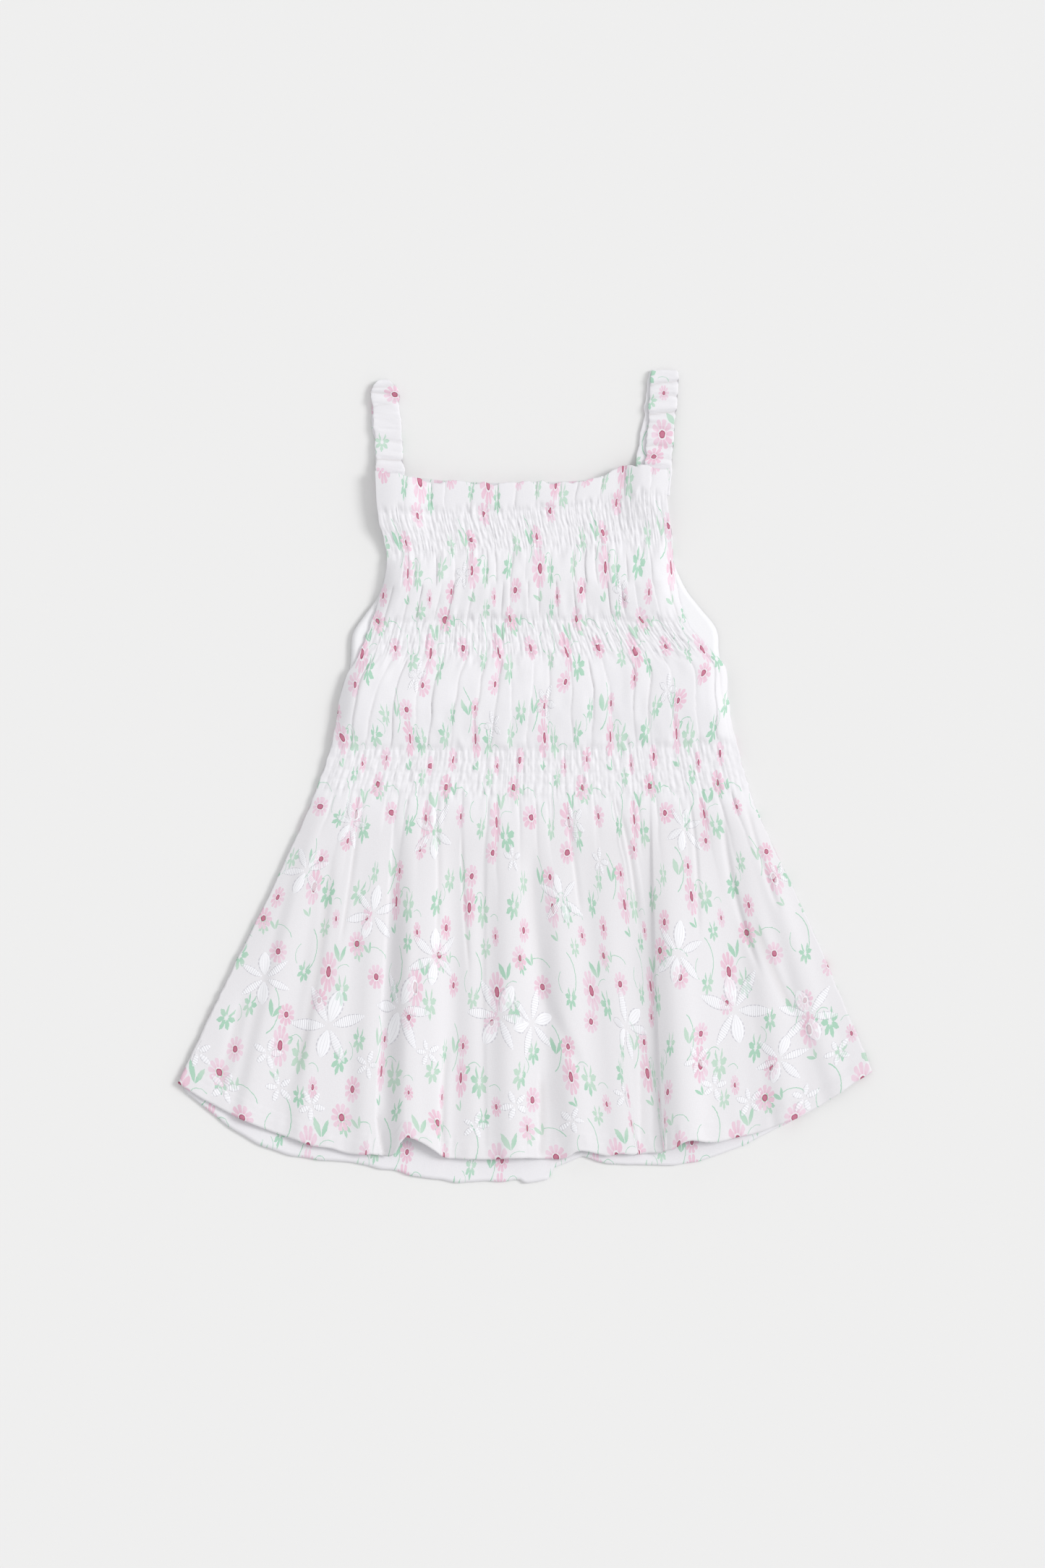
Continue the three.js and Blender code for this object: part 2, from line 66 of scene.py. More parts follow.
# Cross rows of the front from the neck to the hem. down runs along the centre line from the neck edge,
# the ends of each row are its left and right x and y, mid is its y on the centre line, bow is how square
# its curve is, loft is how high the underside arches, lined is 1 where it lies on the lining and cloth is
# how wide the flat cloth is there.
FRONT = table(
    "down left_x left_y right_x right_y mid bow loft lined cloth",
    "0 -91 185 88 187 178 2.4 0.6 0 345",
    "18 -90 160 86 171 161 2 0.8 1 345",
    "40 -84.5 135 89 144 138.5 2 1 1 345",
    "61 -87 114 92 116 117.5 2 5 1 355",
    "84 -94 92.5 98.5 93 94.5 2 1.2 1 380",
    "105 -101.5 73 113 76 73.5 2 1.2 1 410",
    "120 -110 58 121.5 66 58.5 2 4.5 1 430",
    "136 -114 40 123 48 43 2 6 1 450",
    "163 -118 17.5 128 20 15.5 2 1.4 1 480",
    "191 -127 -8 136 -8 -12.5 2 1.6 0 500",
    "217 -135 -28 143 -27 -38.5 2 2.2 0 508",
    "265 -153 -67 161 -65 -87 2.2 1.6 0 521",
    "314 -172 -105 179 -104 -135.5 2.5 1.2 0 534",
    "362 -191 -144 195 -142 -184 2.8 0.8 0 547",
    "411 -211 -186 211 -179 -233 3.2 0.5 0 560",
)
FRONT["rest"] = np.where(FRONT["lined"], ON_LINING, ON_BACK)
HEM = FRONT["down"][-1]

# The back has the front's rows but for the last two.
BACK = {name: column.copy() for name, column in FRONT.items()}
BACK_LAST_ROWS = {
    "left_x": (-190, -208),
    "left_y": (-146, -191),
    "right_x": (193, 207),
    "right_y": (-139, -173),
    "mid": (-194, -246),
    "bow": (3, 3.2),
}
for name, values in BACK_LAST_ROWS.items():
    BACK[name][-2:] = values

LINING = table(
    "down left_x left_y right_x right_y mid bow",
    "0 -86 156 84 165 156 2",
    "25 -84 131 88.5 135 131 2",
    "46 -89 110 97 114 110 2",
    "60 -98 97 106 102 96 2",
    "72 -105 86 116 89 85 2",
    "84 -106 72 117.5 75 72 2",
    "98 -107.5 58 119.5 62 58 2",
    "139 -113 17 124 19 17 2",
)

# Bands of elastic stitching: where each starts and ends, and its rows.
BANDS = table("start end rows", "18 40 5, 84 105 4, 163 191 5")
NECK_BAND = BANDS["start"][0]
WAIST_END = BANDS["end"][-1]
UPPER_PUFF, LOWER_PUFF = (BANDS["end"][:-1] + BANDS["start"][1:]) / 2
BAND_FADE = 4.5
STITCH_WIDTH = 0.8
STITCH_FLATTENS = 0.7
STITCH_DEPTH = 0.12

# The uneven pleats and ribs: the stretch that a kind runs down, how many lie across the front, how uneven
# their widths are, how far they lean in their own widths and how much of the cloth their creases hide.
CELLS = {
    name: dict(zip(("start", "end", "count", "uneven", "lean", "hides", "seed"), values))
    for name, *values in (
        ("header", 0, 18, 13, 0.45, 0.12, 0.4, 41),
        ("neck_ribs", 18, 40, 76, 0.75, 0.3, 0.65, 42),
        ("upper_puff", 40, 84, 19, 0.65, 0.35, 0.5, 43),
        ("chest_ribs", 84, 105, 80, 0.75, 0.3, 0.65, 44),
        ("lower_puff", 105, 163, 21, 0.65, 0.4, 0.5, 45),
        ("waist_ribs", 163, 191, 88, 0.75, 0.3, 0.65, 46),
        ("gathers", 191, 411, 30, 0.7, 0.6, 0.55, 47),
    )
}
WIGGLE = 0.12
TINY = 1e-9
RIB_DEPTH = 0.55
RIB_ROUNDNESS = 0.6
FACE_HEIGHT = 1.5
FACE_UNEVEN = 0.7
FACE_TILT = 0.9
FACE_SWELL = 0.3
FACE_SEEDS = {"upper_puff": 51, "lower_puff": 53, "header": 55}
DRAWN_REACH = 11.0
CREASE_DEPTH = 0.62
CREASE_WIDTH = 0.55
# Painted shade in the creases of the pleats, header and gathers.
CREASE_SHADE = 0.18
# Painted shade over the whole skirt, fading in below the waist, that makes its thin cloth greyer than the
# bodice.
SHEER_SHADE = 0.12
SHEER_FADE = 30
GATHER_HEIGHT = 0.9
GATHER_TILT = 16
GATHER_SHORTEST = 12
GATHER_LONGER = 70
GATHER_CREASE = 0.8
NOTCH_WIDTH = 0.6
NOTCH_SPREAD = 0.02
SOFT_HEIGHT = 0.35
SCALLOP_REACH = 14
EDGE_RUFFLE = 0.5
FRILL_LIFT = 1.4
BACK_GATHERS = 14
NECK_RISE = {"at": 0.87, "half": 0.13, "tuck": 6.5, "reach": 24}

# Small unevenness: its height, how many bumps lie across the cloth, how long a bump is and its seed.
CRUMPLES = {
    "band_edge": (1.8, 55, 1, 15),
    "crinkle": (0.36, 120, 5, 16),
    "fine_crinkle": (0.24, 200, 2.2, 17),
    "drawn": (0.6, 85, 11, 18),
    "puff": (0.34, 40, 9, 19),
    "gathers": (0.4, 85, 12, 20),
    "hem_pucker": (0.25, 130, 9, 22),
    "scallop": (1.9, 27, 1, 23),
    "fine_scallop": (0.7, 60, 1, 29),
    "hem_wave": (0.9, 48, 1, 28),
    "print_across": (0.8, 200, 2.5, 26),
    "print_down": (0.7, 150, 5, 27),
    "back_hem_wave": (0.8, 45, 1, 33),
    "back_fold": (0.25, 60, 25, 32),
}

# Places across the cloth at the waist band, and where the same threads are at the hem. The deep folds
# swallow the threads that crowd together.
FLARE = table(
    "waist hem",
    "0 0, 0.119 0.157, 0.205 0.268, 0.245 0.284, 0.318 0.374, 0.352 0.382, 0.383 0.403, 0.455 0.503",
    "0.464 0.506, 0.516 0.575, 0.592 0.66, 0.636 0.664, 0.668 0.697, 0.752 0.702, 0.78 0.724",
    "0.912 0.882, 1 1",
)

# Folds of the skirt: the crest's x at the waist and at the hem, how far its two sides reach, its height
# at the hem, how far it draws the hem up and how sharply its left side falls.
FOLDS = table(
    "waist hem left right rise tuck sharp",
    "-121 -172 8 18 2 0 1",
    "-109 -137 12 20 2.2 0 1",
    "-100 -118 14 12 1.2 0 1",
    "-90 -98 14 15 2.4 0 1",
    "-66 -73 17 30 7.2 13 1.2",
    "-57 -52 12 14 1.2 0 1",
    "-33 -31 16 15 1.9 0 1",
    "-11 -9 20 24 4.7 0 1.2",
    "14 32 16 22 3.6 4 1.2",
    "44 58 18 16 1.7 2 1",
    "84 97 25 30 7.2 5 1.2",
    "104 124 15 17 1.5 1 1",
    "125 160 12 16 1.9 0 1",
    "131 190 9 12 1.4 0 1",
)
TUCK_REACH = 70
TUCK_SHARP = 4
FOLD_REACH = 110
HEM_TURN = 10
HEM_EXTRA = 0.5
HEM_STITCH_DEPTH = 0.35
HEM_WAVE_REACH = 8
BACK_TUCK = {"at": 0.26, "half": 0.17, "tuck": 7.5, "reach": 90}
BACK_NOTCH = table("across rise", "0.5 -2, 0.535 0, 0.541 7, 0.585 13.5, 0.605 9.5, 0.65 5, 0.72 0")
NOTCH_REACH = 45
BACK_PRINT = (31, 47)

# Creases listed one by one: the y of the upper end, the middle and the lower end and the x at each, the
# depth, how wide the trough's left and right sides are and how much painted shade is laid in it.
CREASES = table(
    "top middle low top_x middle_x low_x depth left right shade",
    "-22 -110 -206 -79.5 -85 -90.5 1.3 0.6 6.5 0.12",
    "-204 -216 -232 -90.5 -89.5 -86 1.8 0.5 3.5 0.3",
    "-14 -120 -232 75.5 78 83 1.3 8.5 0.6 0.1",
    "-166 -196 -232 69.5 70 70 1 0.6 9 0.2",
    "-30 -120 -232 -24 -25.5 -24 0.6 5 1 0.14",
    "-44 -96 -150 4 6 14 1.1 6 4 0.2",
    "-140 -156 -178 14 23 34 1 5 3 0.17",
    "-180 -204 -234 9 8.8 8.8 1.5 0.6 6.5 0.3",
    "-50 -120 -186 -118.5 -126.5 -141 1.2 4 2.6 0.25",
    "-134 -165 -194 -172 -178 -187 1.1 4 2.6 0.25",
    "-160 -190 -230 -48 -50 -51 1.5 1.6 2.6 0.25",
    "-30 -75 -118 -39 -37.5 -34 0.7 0.8 1.2 0.3",
    "-12 -46 -95 99 103.5 104.5 0.9 1.2 1 0.17",
    "-20 -70 -120 120 127 143 1.1 2.2 1.6 0.2",
    "-16 -46 -80 134 142 153 1 1.8 1.6 0.17",
    "-85 -120 -150 138 152 166 0.8 5 2 0.3",
    "-20 -60 -100 -55 -53 -54 0.7 0.8 2 0.25",
    "-20 -52 -90 57 64 68 0.9 1 2 0.25",
    "-20 -50 -84 24 29 33 0.7 0.8 2 0.2",
    "-22 -60 -100 -101 -106 -112 0.7 0.8 2 0.25",
)

STRAP_THICKNESS = 2.2
STRAP_SQUARENESS = 0.35
# Painted shade on the lines of the straps' creases.
STRAP_SHADE = 0.4
STRAP_NARROWS = 1.1
STRAP_GATHERED = 1.35
FRONT_CREASED = 1.5
BACK_CREASED = 0.5
STRAP_RAMP = BACK_TOP + LAYER_GAP
STRAP_RAMP_FROM = 189
STRAP_RAMP_LENGTH = 8
STRAP_LIFT = 4
LIFT_REACH = 26
LIFT_FROM = 21
LIFT_TO = 38
TURN_RING = 14
TUBE_RING = 40
STRAPS = (
    {
        "name": "strap_left",
        "width": 18,
        "fold_y": 241,
        "rounding": 9,
        "rows": table("y front back", "161.5 -81.4 -81, 190 -82.5 -82.6, 215 -84 -84.6, 241 -86.3 -86.3"),
        "creases": table(
            "y depth width tilt",
            "191.5 0.9 1.6 0.05, 204 0.3 2 0.3, 226 0.5 2 -0.5, 232 0.7 1.5 0.3, 236.5 0.6 1.3 -0.2",
            "178 0.5 2 0.2, 171 0.5 1.5 -0.3",
        ),
        "seed": 3,
    },
    {
        "name": "strap_right",
        "width": 17.5,
        "fold_y": 247,
        "rounding": 2.5,
        "rows": table(
            "y front back", "170 78.6 73.5, 190 80.7 75.8, 209 82.2 78.4, 223 83.4 80.6, 247 84.9 83.4"
        ),
        "creases": table(
            "y depth width tilt",
            "238.5 0.9 1.4 -0.25, 230 0.6 1.5 -0.2, 220.5 1.1 1.5 -0.3, 211 0.5 1.8 0.25",
            "200 0.7 1.5 0.1, 214.5 0.4 1.3 0.1, 193 0.4 1.5 0.2",
        ),
        "seed": 5,
    },
)


def smooth(start, end, at):
    t = np.clip((at - start) / (end - start), 0, 1)
    return t * t * (3 - 2 * t)


def bell(off, width):
    """1 on a line, falling to 0 beside it."""
    return np.exp(-((off / width) ** 2))


def read(rows, column, at, along="down"):
    """A column's value on a smooth curve through a table's rows."""
    x, v = rows[along], rows[column]
    slope = np.gradient(v)
    slope[1:-1] = (v[2:] - v[:-2]) / (x[2:] - x[:-2])
    slope[0] = (v[1] - v[0]) / (x[1] - x[0])
    slope[-1] = (v[-1] - v[-2]) / (x[-1] - x[-2])
    i = np.clip(np.searchsorted(x, at, "right") - 1, 0, len(x) - 2)
    span = x[i + 1] - x[i]
    t = np.clip((at - x[i]) / span, 0, 1)
    rise = t * t * (3 - 2 * t)
    bend = (1 - t) * slope[i] - t * slope[i + 1]
    return v[i] * (1 - rise) + v[i + 1] * rise + span * t * (1 - t) * bend


def noise(x, y, seed):
    """Smooth noise from -1 to 1, with about one bump to each unit of x and of y."""
    size = 64
    grid = np.random.default_rng(seed).uniform(-1, 1, (size, size))
    x, y = np.broadcast_arrays(np.asarray(x, float), np.asarray(y, float))
    i, j = np.floor(x).astype(int), np.floor(y).astype(int)
    s, t = smooth(0, 1, x - i), smooth(0, 1, y - j)
    low = grid[i % size, j % size] * (1 - s) + grid[(i + 1) % size, j % size] * s
    high = grid[i % size, (j + 1) % size] * (1 - s) + grid[(i + 1) % size, (j + 1) % size] * s
    return low * (1 - t) + high * t


def crumple(name, across, down):
    height, count, length, seed = CRUMPLES[name]
    return height * noise(across * count, down / length, seed)


def plan(rows, u, down):
    """Where a point of a panel lies seen from above: u runs from 0 at the left edge to 1 at the right."""
    left_x, left_y, right_x, right_y, mid, bow = (
        read(rows, name, down) for name in ("left_x", "left_y", "right_x", "right_y", "mid", "bow")
    )
    sag = mid - (left_y + right_y) / 2
    x = left_x + (right_x - left_x) * u
    y = left_y + (right_y - left_y) * u + sag * (1 - np.abs(2 * u - 1) ** bow)
    return x, y


def front_width(down):
    return read(FRONT, "right_x", down) - read(FRONT, "left_x", down)


def edge_roll(u, down):
    """The share of full height near the front's side edges, where the cloth rolls down."""
    return np.sin(math.pi / 2 * np.clip(np.minimum(u, 1 - u) * front_width(down) / EDGE_ROLL, 0, 1))


def skirt_share(down):
    return np.clip((down - WAIST_END) / (HEM - WAIST_END), 0, 1)


def flared(thread, down):
    """The place across a row that a thread of the cloth has reached."""
    return thread + (np.interp(thread, FLARE["waist"], FLARE["hem"]) - thread) * skirt_share(down)


def drawn_up(tuck, u):
    across = np.minimum(1, np.abs(u - tuck["at"]) / tuck["half"])
    return tuck["tuck"] * (0.5 + 0.5 * np.cos(math.pi * across))


def in_band(down, fade=3.0):
    """1 inside a band of elastic stitching, fading out beside it."""
    inside = [
        smooth(start - fade, start, down) * (1 - smooth(end, end + fade, down))
        for start, end in zip(BANDS["start"], BANDS["end"])
    ]
    return np.maximum.reduce(inside)


def stitch_line(down):
    """1 on a row of elastic stitching, falling to 0 close beside it."""
    line = np.zeros_like(down)
    for start, end, rows in zip(BANDS["start"], BANDS["end"], BANDS["rows"]):
        for row in np.linspace(start, end, int(rows)):
            line = np.maximum(line, bell(down - row, STITCH_WIDTH))
    return line


def cell_lines(kind):
    """Where the lines between a kind's cells start and end, as shares of the cloth's width."""
    random = np.random.default_rng(kind["seed"])
    widths = random.uniform(1 - kind["uneven"], 1 + kind["uneven"], kind["count"])
    places = np.concatenate([[0], np.cumsum(widths)]) / widths.sum()
    lean = random.uniform(-0.5, 0.5, kind["count"] + 1) * kind["lean"] / kind["count"]
    lean[[0, -1]] = 0
    return np.sort(places - lean), np.sort(places + lean)


def cells(name, thread, down):
    """The number of the cell that a thread is in, and how far off its two lines are."""
    kind = CELLS[name]
    starts, ends = cell_lines(kind)
    share = np.clip((down - kind["start"]) / (kind["end"] - kind["start"]), 0, 1)
    number, left, right = np.zeros(thread.shape, int), np.empty_like(thread), np.empty_like(thread)
    thread = thread + WIGGLE / kind["count"] * noise(thread * 9, down / 13, kind["seed"])
    for value in np.unique(share):
        row = share == value
        lines = starts + (ends - starts) * value
        place = np.clip(np.searchsorted(lines, thread[row], "right") - 1, 0, kind["count"] - 1)
        number[row] = place
        left[row] = thread[row] - lines[place]
        right[row] = lines[place + 1] - thread[row]
    return number, np.maximum(left, 0), np.maximum(right, 0)


def each(number, seed):
    """A fixed random value from 0 to 1 for each cell."""
    return np.random.default_rng(seed).uniform(0, 1, 256)[number % 256]


def puffed(left, right, sharpness):
    """Cross-section of a rib: 0 on its lines and 1 on its rounded crest."""
    across = left / np.maximum(left + right, TINY)
    return np.clip(4 * across * (1 - across), 0, 1) ** sharpness


def pleated(name, thread, down, width):
    """Flat faces, each a little tilted and at its own height, with thin creases of uneven strength between.
    The second value is how deep in a crease a point is."""
    seed = FACE_SEEDS[name]
    number, left, right = cells(name, thread, down)
    across = left / np.maximum(left + right, TINY)
    line = number + (left > right)
    strength = np.clip(0.6 + 0.8 * noise(line * 3.7, down / 15, seed + 2), 0.1, 1)
    crease = strength * np.exp(-np.minimum(left, right) * width / CREASE_WIDTH)
    own = FACE_UNEVEN * (each(number, seed) - 0.5)
    tilt = FACE_TILT * (each(number, seed + 1) - 0.5) * (across - 0.5)
    swell = FACE_SWELL * puffed(left, right, 0.5)
    return FACE_HEIGHT + own + tilt + swell - CREASE_DEPTH * crease, crease


def skirt_folds(x, down):
    """Height of the folds over the skirt, and how far they draw the hem up."""
    height, tuck = np.zeros_like(x), np.zeros_like(x)
    for waist, hem, left, right, rise, drawn, sharp in zip(*FOLDS.values()):
        off = x - (waist + (hem - waist) * skirt_share(down))
        across = np.clip(off / np.where(off < 0, left, right), -1, 1)
        shape = 0.5 + 0.5 * np.cos(math.pi * across)
        height += rise * np.where(off < 0, shape**sharp, shape) * smooth(0, FOLD_REACH, down - WAIST_END)
        tuck += drawn * np.where(off < 0, shape**TUCK_SHARP, shape) * smooth(HEM - TUCK_REACH, HEM, down)
    return height, tuck


def creases(x, y):
    """Depth of the listed creases, and how much painted shade is laid in them."""
    depth, shade_share = np.zeros_like(x), np.zeros_like(x)
    for top, middle, low, top_x, middle_x, low_x, deep, left, right, painted_shade in zip(*CREASES.values()):
        at = np.clip(y, low, top)
        from_top = (at - middle) * (at - low) / ((top - middle) * (top - low))
        from_middle = (at - top) * (at - low) / ((middle - top) * (middle - low))
        from_low = (at - top) * (at - middle) / ((low - top) * (low - middle))
        off = x - (top_x * from_top + middle_x * from_middle + low_x * from_low)
        along = (top - y) / (top - low)
        taper = smooth(-0.06, 0.2, along) * (1 - smooth(0.86, 1.05, along))
        shape = taper * bell(off, np.where(off < 0, left, right))
        depth += deep * shape
        # Painted shade laid along the trough.
        shade_share = np.maximum(shade_share, painted_shade * shape)
    return depth, shade_share


def over_strap(x, down):
    """The lift of the front over the strap ends that are sewn inside its neck edge."""
    near = [1 - smooth(0.35, 1, np.abs(x - strap["rows"]["front"][1]) / LIFT_REACH) for strap in STRAPS]
    return STRAP_LIFT * np.maximum.reduce(near) * (1 - smooth(LIFT_FROM, LIFT_TO, down))


def front_place(thread, down):
    x, y = plan(FRONT, flared(thread, down), down)
    neck = drawn_up(NECK_RISE, thread) * (1 - smooth(0, NECK_RISE["reach"], down))
    scallop = crumple("scallop", thread, 0) + crumple("fine_scallop", thread, 0)
    scallop = scallop * (1 - smooth(0, SCALLOP_REACH, down))
    on_edge = 1 - smooth(0, 0.02, np.minimum(thread, 1 - thread))
    ruffle = EDGE_RUFFLE * noise(down / 4, thread * 2, 25) * on_edge
    wave = crumple("hem_wave", thread, 3) * smooth(HEM - HEM_WAVE_REACH, HEM, down)
    return x + ruffle, y + neck + scallop + wave + skirt_folds(x, down)[1]


def front_under(thread, down):
    """Height of the front's underside."""
    x, _ = plan(FRONT, flared(thread, down), down)
    roll = edge_roll(flared(thread, down), down)
    arch = read(FRONT, "loft", down) + skirt_folds(x, down)[0]
    lift = over_strap(x, down) + FRILL_LIFT * (1 - smooth(0, NECK_BAND, down))
    trough = creases(*front_place(thread, down))[0]
    return read(FRONT, "rest", down) + np.maximum(arch - trough, 0) * roll + lift


def band_ribs(thread, down):
    """Height of the crinkled ribs of the nearest band, flatter along its rows of stitching."""
    ribs = np.zeros_like(thread)
    places = (down < UPPER_PUFF, (down >= UPPER_PUFF) & (down < LOWER_PUFF), down >= LOWER_PUFF)
    for name, rows in zip(("neck_ribs", "chest_ribs", "waist_ribs"), places):
        _, left, right = cells(name, thread[rows], down[rows])
        ribs[rows] = puffed(left, right, RIB_ROUNDNESS)
    stitches = stitch_line(down)
    crinkle = crumple("crinkle", thread, down) + crumple("fine_crinkle", thread, down)
    return RIB_DEPTH * ribs * (1 - STITCH_FLATTENS * stitches) - STITCH_DEPTH * stitches + crinkle


def puffs(thread, down, width):
    """Height of the pleats between the bands, drawn in beside them, and how deep in a crease a point is."""
    faces, crease = np.zeros_like(thread), np.zeros_like(thread)
    upper = down < UPPER_PUFF
    for name, rows in (("upper_puff", upper), ("lower_puff", ~upper)):
        faces[rows], crease[rows] = pleated(name, thread[rows], down[rows], width[rows])
    drawn = in_band(down, DRAWN_REACH) * crumple("drawn", thread, down)
    return faces + crumple("puff", thread, down) + drawn, crease


def gathers(thread, down, width):
    """Height of the gathers that fade out down the skirt, and how deep in a crease a point is."""
    below = down - WAIST_END
    number, left, right = cells("gathers", thread, down)
    fading = np.clip(1 - below / (GATHER_SHORTEST + GATHER_LONGER * each(number, 57) ** 1.5), 0, 1)
    notch = np.exp(-np.minimum(left, right) * width / (NOTCH_WIDTH + NOTCH_SPREAD * np.maximum(below, 0)))
    swell = GATHER_HEIGHT * fading**0.7 * (1 - notch)
    tilt = GATHER_TILT * (each(number, 58) - 0.5) * fading * (left - right)
    return swell + tilt + crumple("gathers", thread, down) * np.clip(1 - below / 14, 0, 1), notch * fading


def hem_relief(thread, down):
    """Height of the hem's second layer, with its row of stitching and the pucker above it."""
    turned = HEM_EXTRA * smooth(HEM - HEM_TURN - 1.5, HEM - HEM_TURN, down)
    stitched = HEM_STITCH_DEPTH * bell(down - (HEM - HEM_TURN + 1), STITCH_WIDTH)
    return turned - stitched + crumple("hem_pucker", thread, down) * smooth(HEM - 16, HEM - 9, down)


def front_relief(thread, down):
    """Height of the smocking, pleats and gathers over the plain cloth, and how deep in a crease it is."""
    width = front_width(down)
    band = in_band(down + crumple("band_edge", thread, 5), BAND_FADE)
    on_skirt = smooth(-2, 3, down - WAIST_END)
    above_band = 1 - smooth(NECK_BAND - 3, NECK_BAND, down)
    between_bands = (1 - on_skirt) * (1 - above_band)
    faces, face_crease = puffs(thread, down, width)
    gathered, notch = gathers(thread, down, width)
    header, header_crease = pleated("header", thread, down, width)
    loose = faces * between_bands + gathered * on_skirt + header * above_band
    crease = face_crease * between_bands + GATHER_CREASE * notch * on_skirt + header_crease * above_band
    relief = band_ribs(thread, down) * band + loose * (1 - band) + hem_relief(thread, down)
    return relief, crease * (1 - band)


def front_top(thread, down):
    x, y = front_place(thread, down)
    roll = EDGE_RELIEF + (1 - EDGE_RELIEF) * edge_roll(flared(thread, down), down)
    soft = SOFT_HEIGHT * noise(x / 19, y / 45, 24) * smooth(10, 40, down - WAIST_END)
    relief = np.maximum(front_relief(thread, down)[0] + soft, -WALL / 2)
    return x, y, front_under(thread, down) + WALL + relief * roll


def front_bottom(thread, down):
    x, y = front_place(thread, down)
    return x, y, front_under(thread, down)


def hidden_cloth(name, thread, down):
    """How far the print is shifted by the cloth that a kind's creases hide."""
    _, left, right = cells(name, thread, down)
    wide = np.maximum(left + right, TINY)
    return CELLS[name]["hides"] * wide * np.sin(2 * math.pi * left / wide) / (2 * math.pi)


def front_cloth(thread, down):
    """Where a point lies on the flat printed cloth."""
    band = in_band(down)
    shift = np.zeros_like(thread)
    for name, kind in CELLS.items():
        rows = (down >= kind["start"]) & (down < kind["end"])
        shift[rows] = hidden_cloth(name, thread[rows], down[rows])
    shift *= 1 - smooth(10, 120, down - WAIST_END)
    across = (thread - 0.5 + shift) * read(FRONT, "cloth", down)
    jagged = band * crumple("print_across", thread, down)
    return across + jagged, down + band * crumple("print_down", thread, down)


def back_place(u, down):
    x, y = plan(BACK, u, down)
    notch = np.interp(u, BACK_NOTCH["across"], BACK_NOTCH["rise"], 0) * smooth(HEM - NOTCH_REACH, HEM, down)
    wave = crumple("back_hem_wave", u, 3) * smooth(HEM - HEM_WAVE_REACH, HEM, down)
    return x, y + notch + wave + drawn_up(BACK_TUCK, u) * smooth(HEM - BACK_TUCK["reach"], HEM, down)


def back_under(u, down):
    x, y = back_place(u, down)
    number = BACK_GATHERS * u + 0.3 * np.sin(2 * math.pi * 2.3 * u) + 0.12 * np.sin(2 * math.pi * 6 * u)
    rib = np.abs(np.sin(math.pi * number)) ** 0.7
    _, left, right = cells("chest_ribs", u, down)
    return x, y, in_band(down) * BACK_GROOVE * (1 - 0.6 * rib - 0.4 * puffed(left, right, 0.5))


def back_over(u, down):
    x, y = back_place(u, down)
    fold = crumple("back_fold", u, down) * smooth(HEM - 60, HEM - 20, down)
    stitched = 0.3 * bell(down - (HEM - HEM_TURN), STITCH_WIDTH)
    return x, y, BACK_TOP + np.minimum(fold, 0) - stitched


def back_cloth(u, down):
    return (u - 0.5) * read(BACK, "cloth", down) + BACK_PRINT[0], down + BACK_PRINT[1]


def lining_at(height):
    def point(u, down):
        x, y = plan(LINING, u, down)
        return x, y, np.full_like(x, height)

    return point


# Meshes


def add_uvs(mesh, name, uvs):
    """A uv layer from each point's uvs, in metres."""
    corners = np.empty(len(mesh.loops), np.int32)
    mesh.loops.foreach_get("vertex_index", corners)
    layer = mesh.uv_layers.new(name=name)
    layer.data.foreach_set("uv", (np.asarray(uvs)[corners] * MM).astype(np.float32).ravel())


def add_painted_shade(item, shares):
    """How much painted shade each point has: the share of the painted shade tone that its material
    multiplies into the print.
    """
    painted_shade = item.data.attributes.new("PaintedShade", "FLOAT", "POINT")
    painted_shade.data.foreach_set("value", shares.astype(np.float32))


def shown(name, data):
    item = bpy.data.objects.new(name, data)
    bpy.context.scene.collection.objects.link(item)
    return item


def link(name, points, faces, uvs=None):
    """A smooth mesh object, with its uvs in metres of flat cloth."""
    mesh = bpy.data.meshes.new(name)
    mesh.from_pydata([tuple(p) for p in np.asarray(points) * MM], [], faces)
    mesh.shade_smooth()
    if uvs is not None:
        add_uvs(mesh, "Cloth", uvs)
    return shown(name, mesh)


def grid(point, across, downs, cloth):
    """Points, uvs and rows of point numbers of one face of a panel."""
    u, down = np.meshgrid(across, downs)
    x, y, z = (np.asarray(v).ravel() for v in point(u.ravel(), down.ravel()))
    s, t = cloth(u.ravel(), down.ravel())
    rows = np.arange(len(x)).reshape(u.shape)
    return np.stack([x, y, z], 1), np.stack([s, t], 1), rows


def quads(rows, flip):
    a, b, c, d = rows[:-1, :-1], rows[1:, :-1], rows[1:, 1:], rows[:-1, 1:]
    faces = np.stack([a, d, c, b] if flip else [a, b, c, d], -1).reshape(-1, 4)
    return faces.tolist()


def rim(one, along_one, two, along_two):
    """Triangles between two lines of points, taken in step along them."""
    faces, i, j = [], 0, 0
    while i < len(one) - 1 or j < len(two) - 1:
        step_one = along_one[i + 1] if i < len(one) - 1 else math.inf
        step_two = along_two[j + 1] if j < len(two) - 1 else math.inf
        if step_one <= step_two:
            faces.append((int(one[i]), int(two[j]), int(one[i + 1])))
            i += 1
        else:
            faces.append((int(one[i]), int(two[j]), int(two[j + 1])))
            j += 1
    return faces


def panel(name, upper, lower, upper_places, lower_places, cloth):
    """A closed wall of cloth: a face up, a face down and a rim between, with the places across and down of
    each face's points."""
    over, over_uv, top = grid(upper, *upper_places, cloth)
    under, under_uv, low = grid(lower, *lower_places, cloth)
    low = low + len(over)
    faces = quads(top, False) + quads(low, True)
    faces += rim(low[0], lower_places[0], top[0], upper_places[0])
    faces += rim(top[-1], upper_places[0], low[-1], lower_places[0])
    faces += rim(top[:, 0], upper_places[1], low[:, 0], lower_places[1])
    faces += rim(low[:, -1], lower_places[1], top[:, -1], upper_places[1])
    return link(name, np.vstack([over, under]), faces, np.vstack([over_uv, under_uv]))


FRONT_COLUMNS = 450
FRONT_ROWS = table(
    "end rows",
    "18 14, 40 22, 84 24, 105 20, 163 28, 191 26, 250 24, 390 30, 411 14",
)


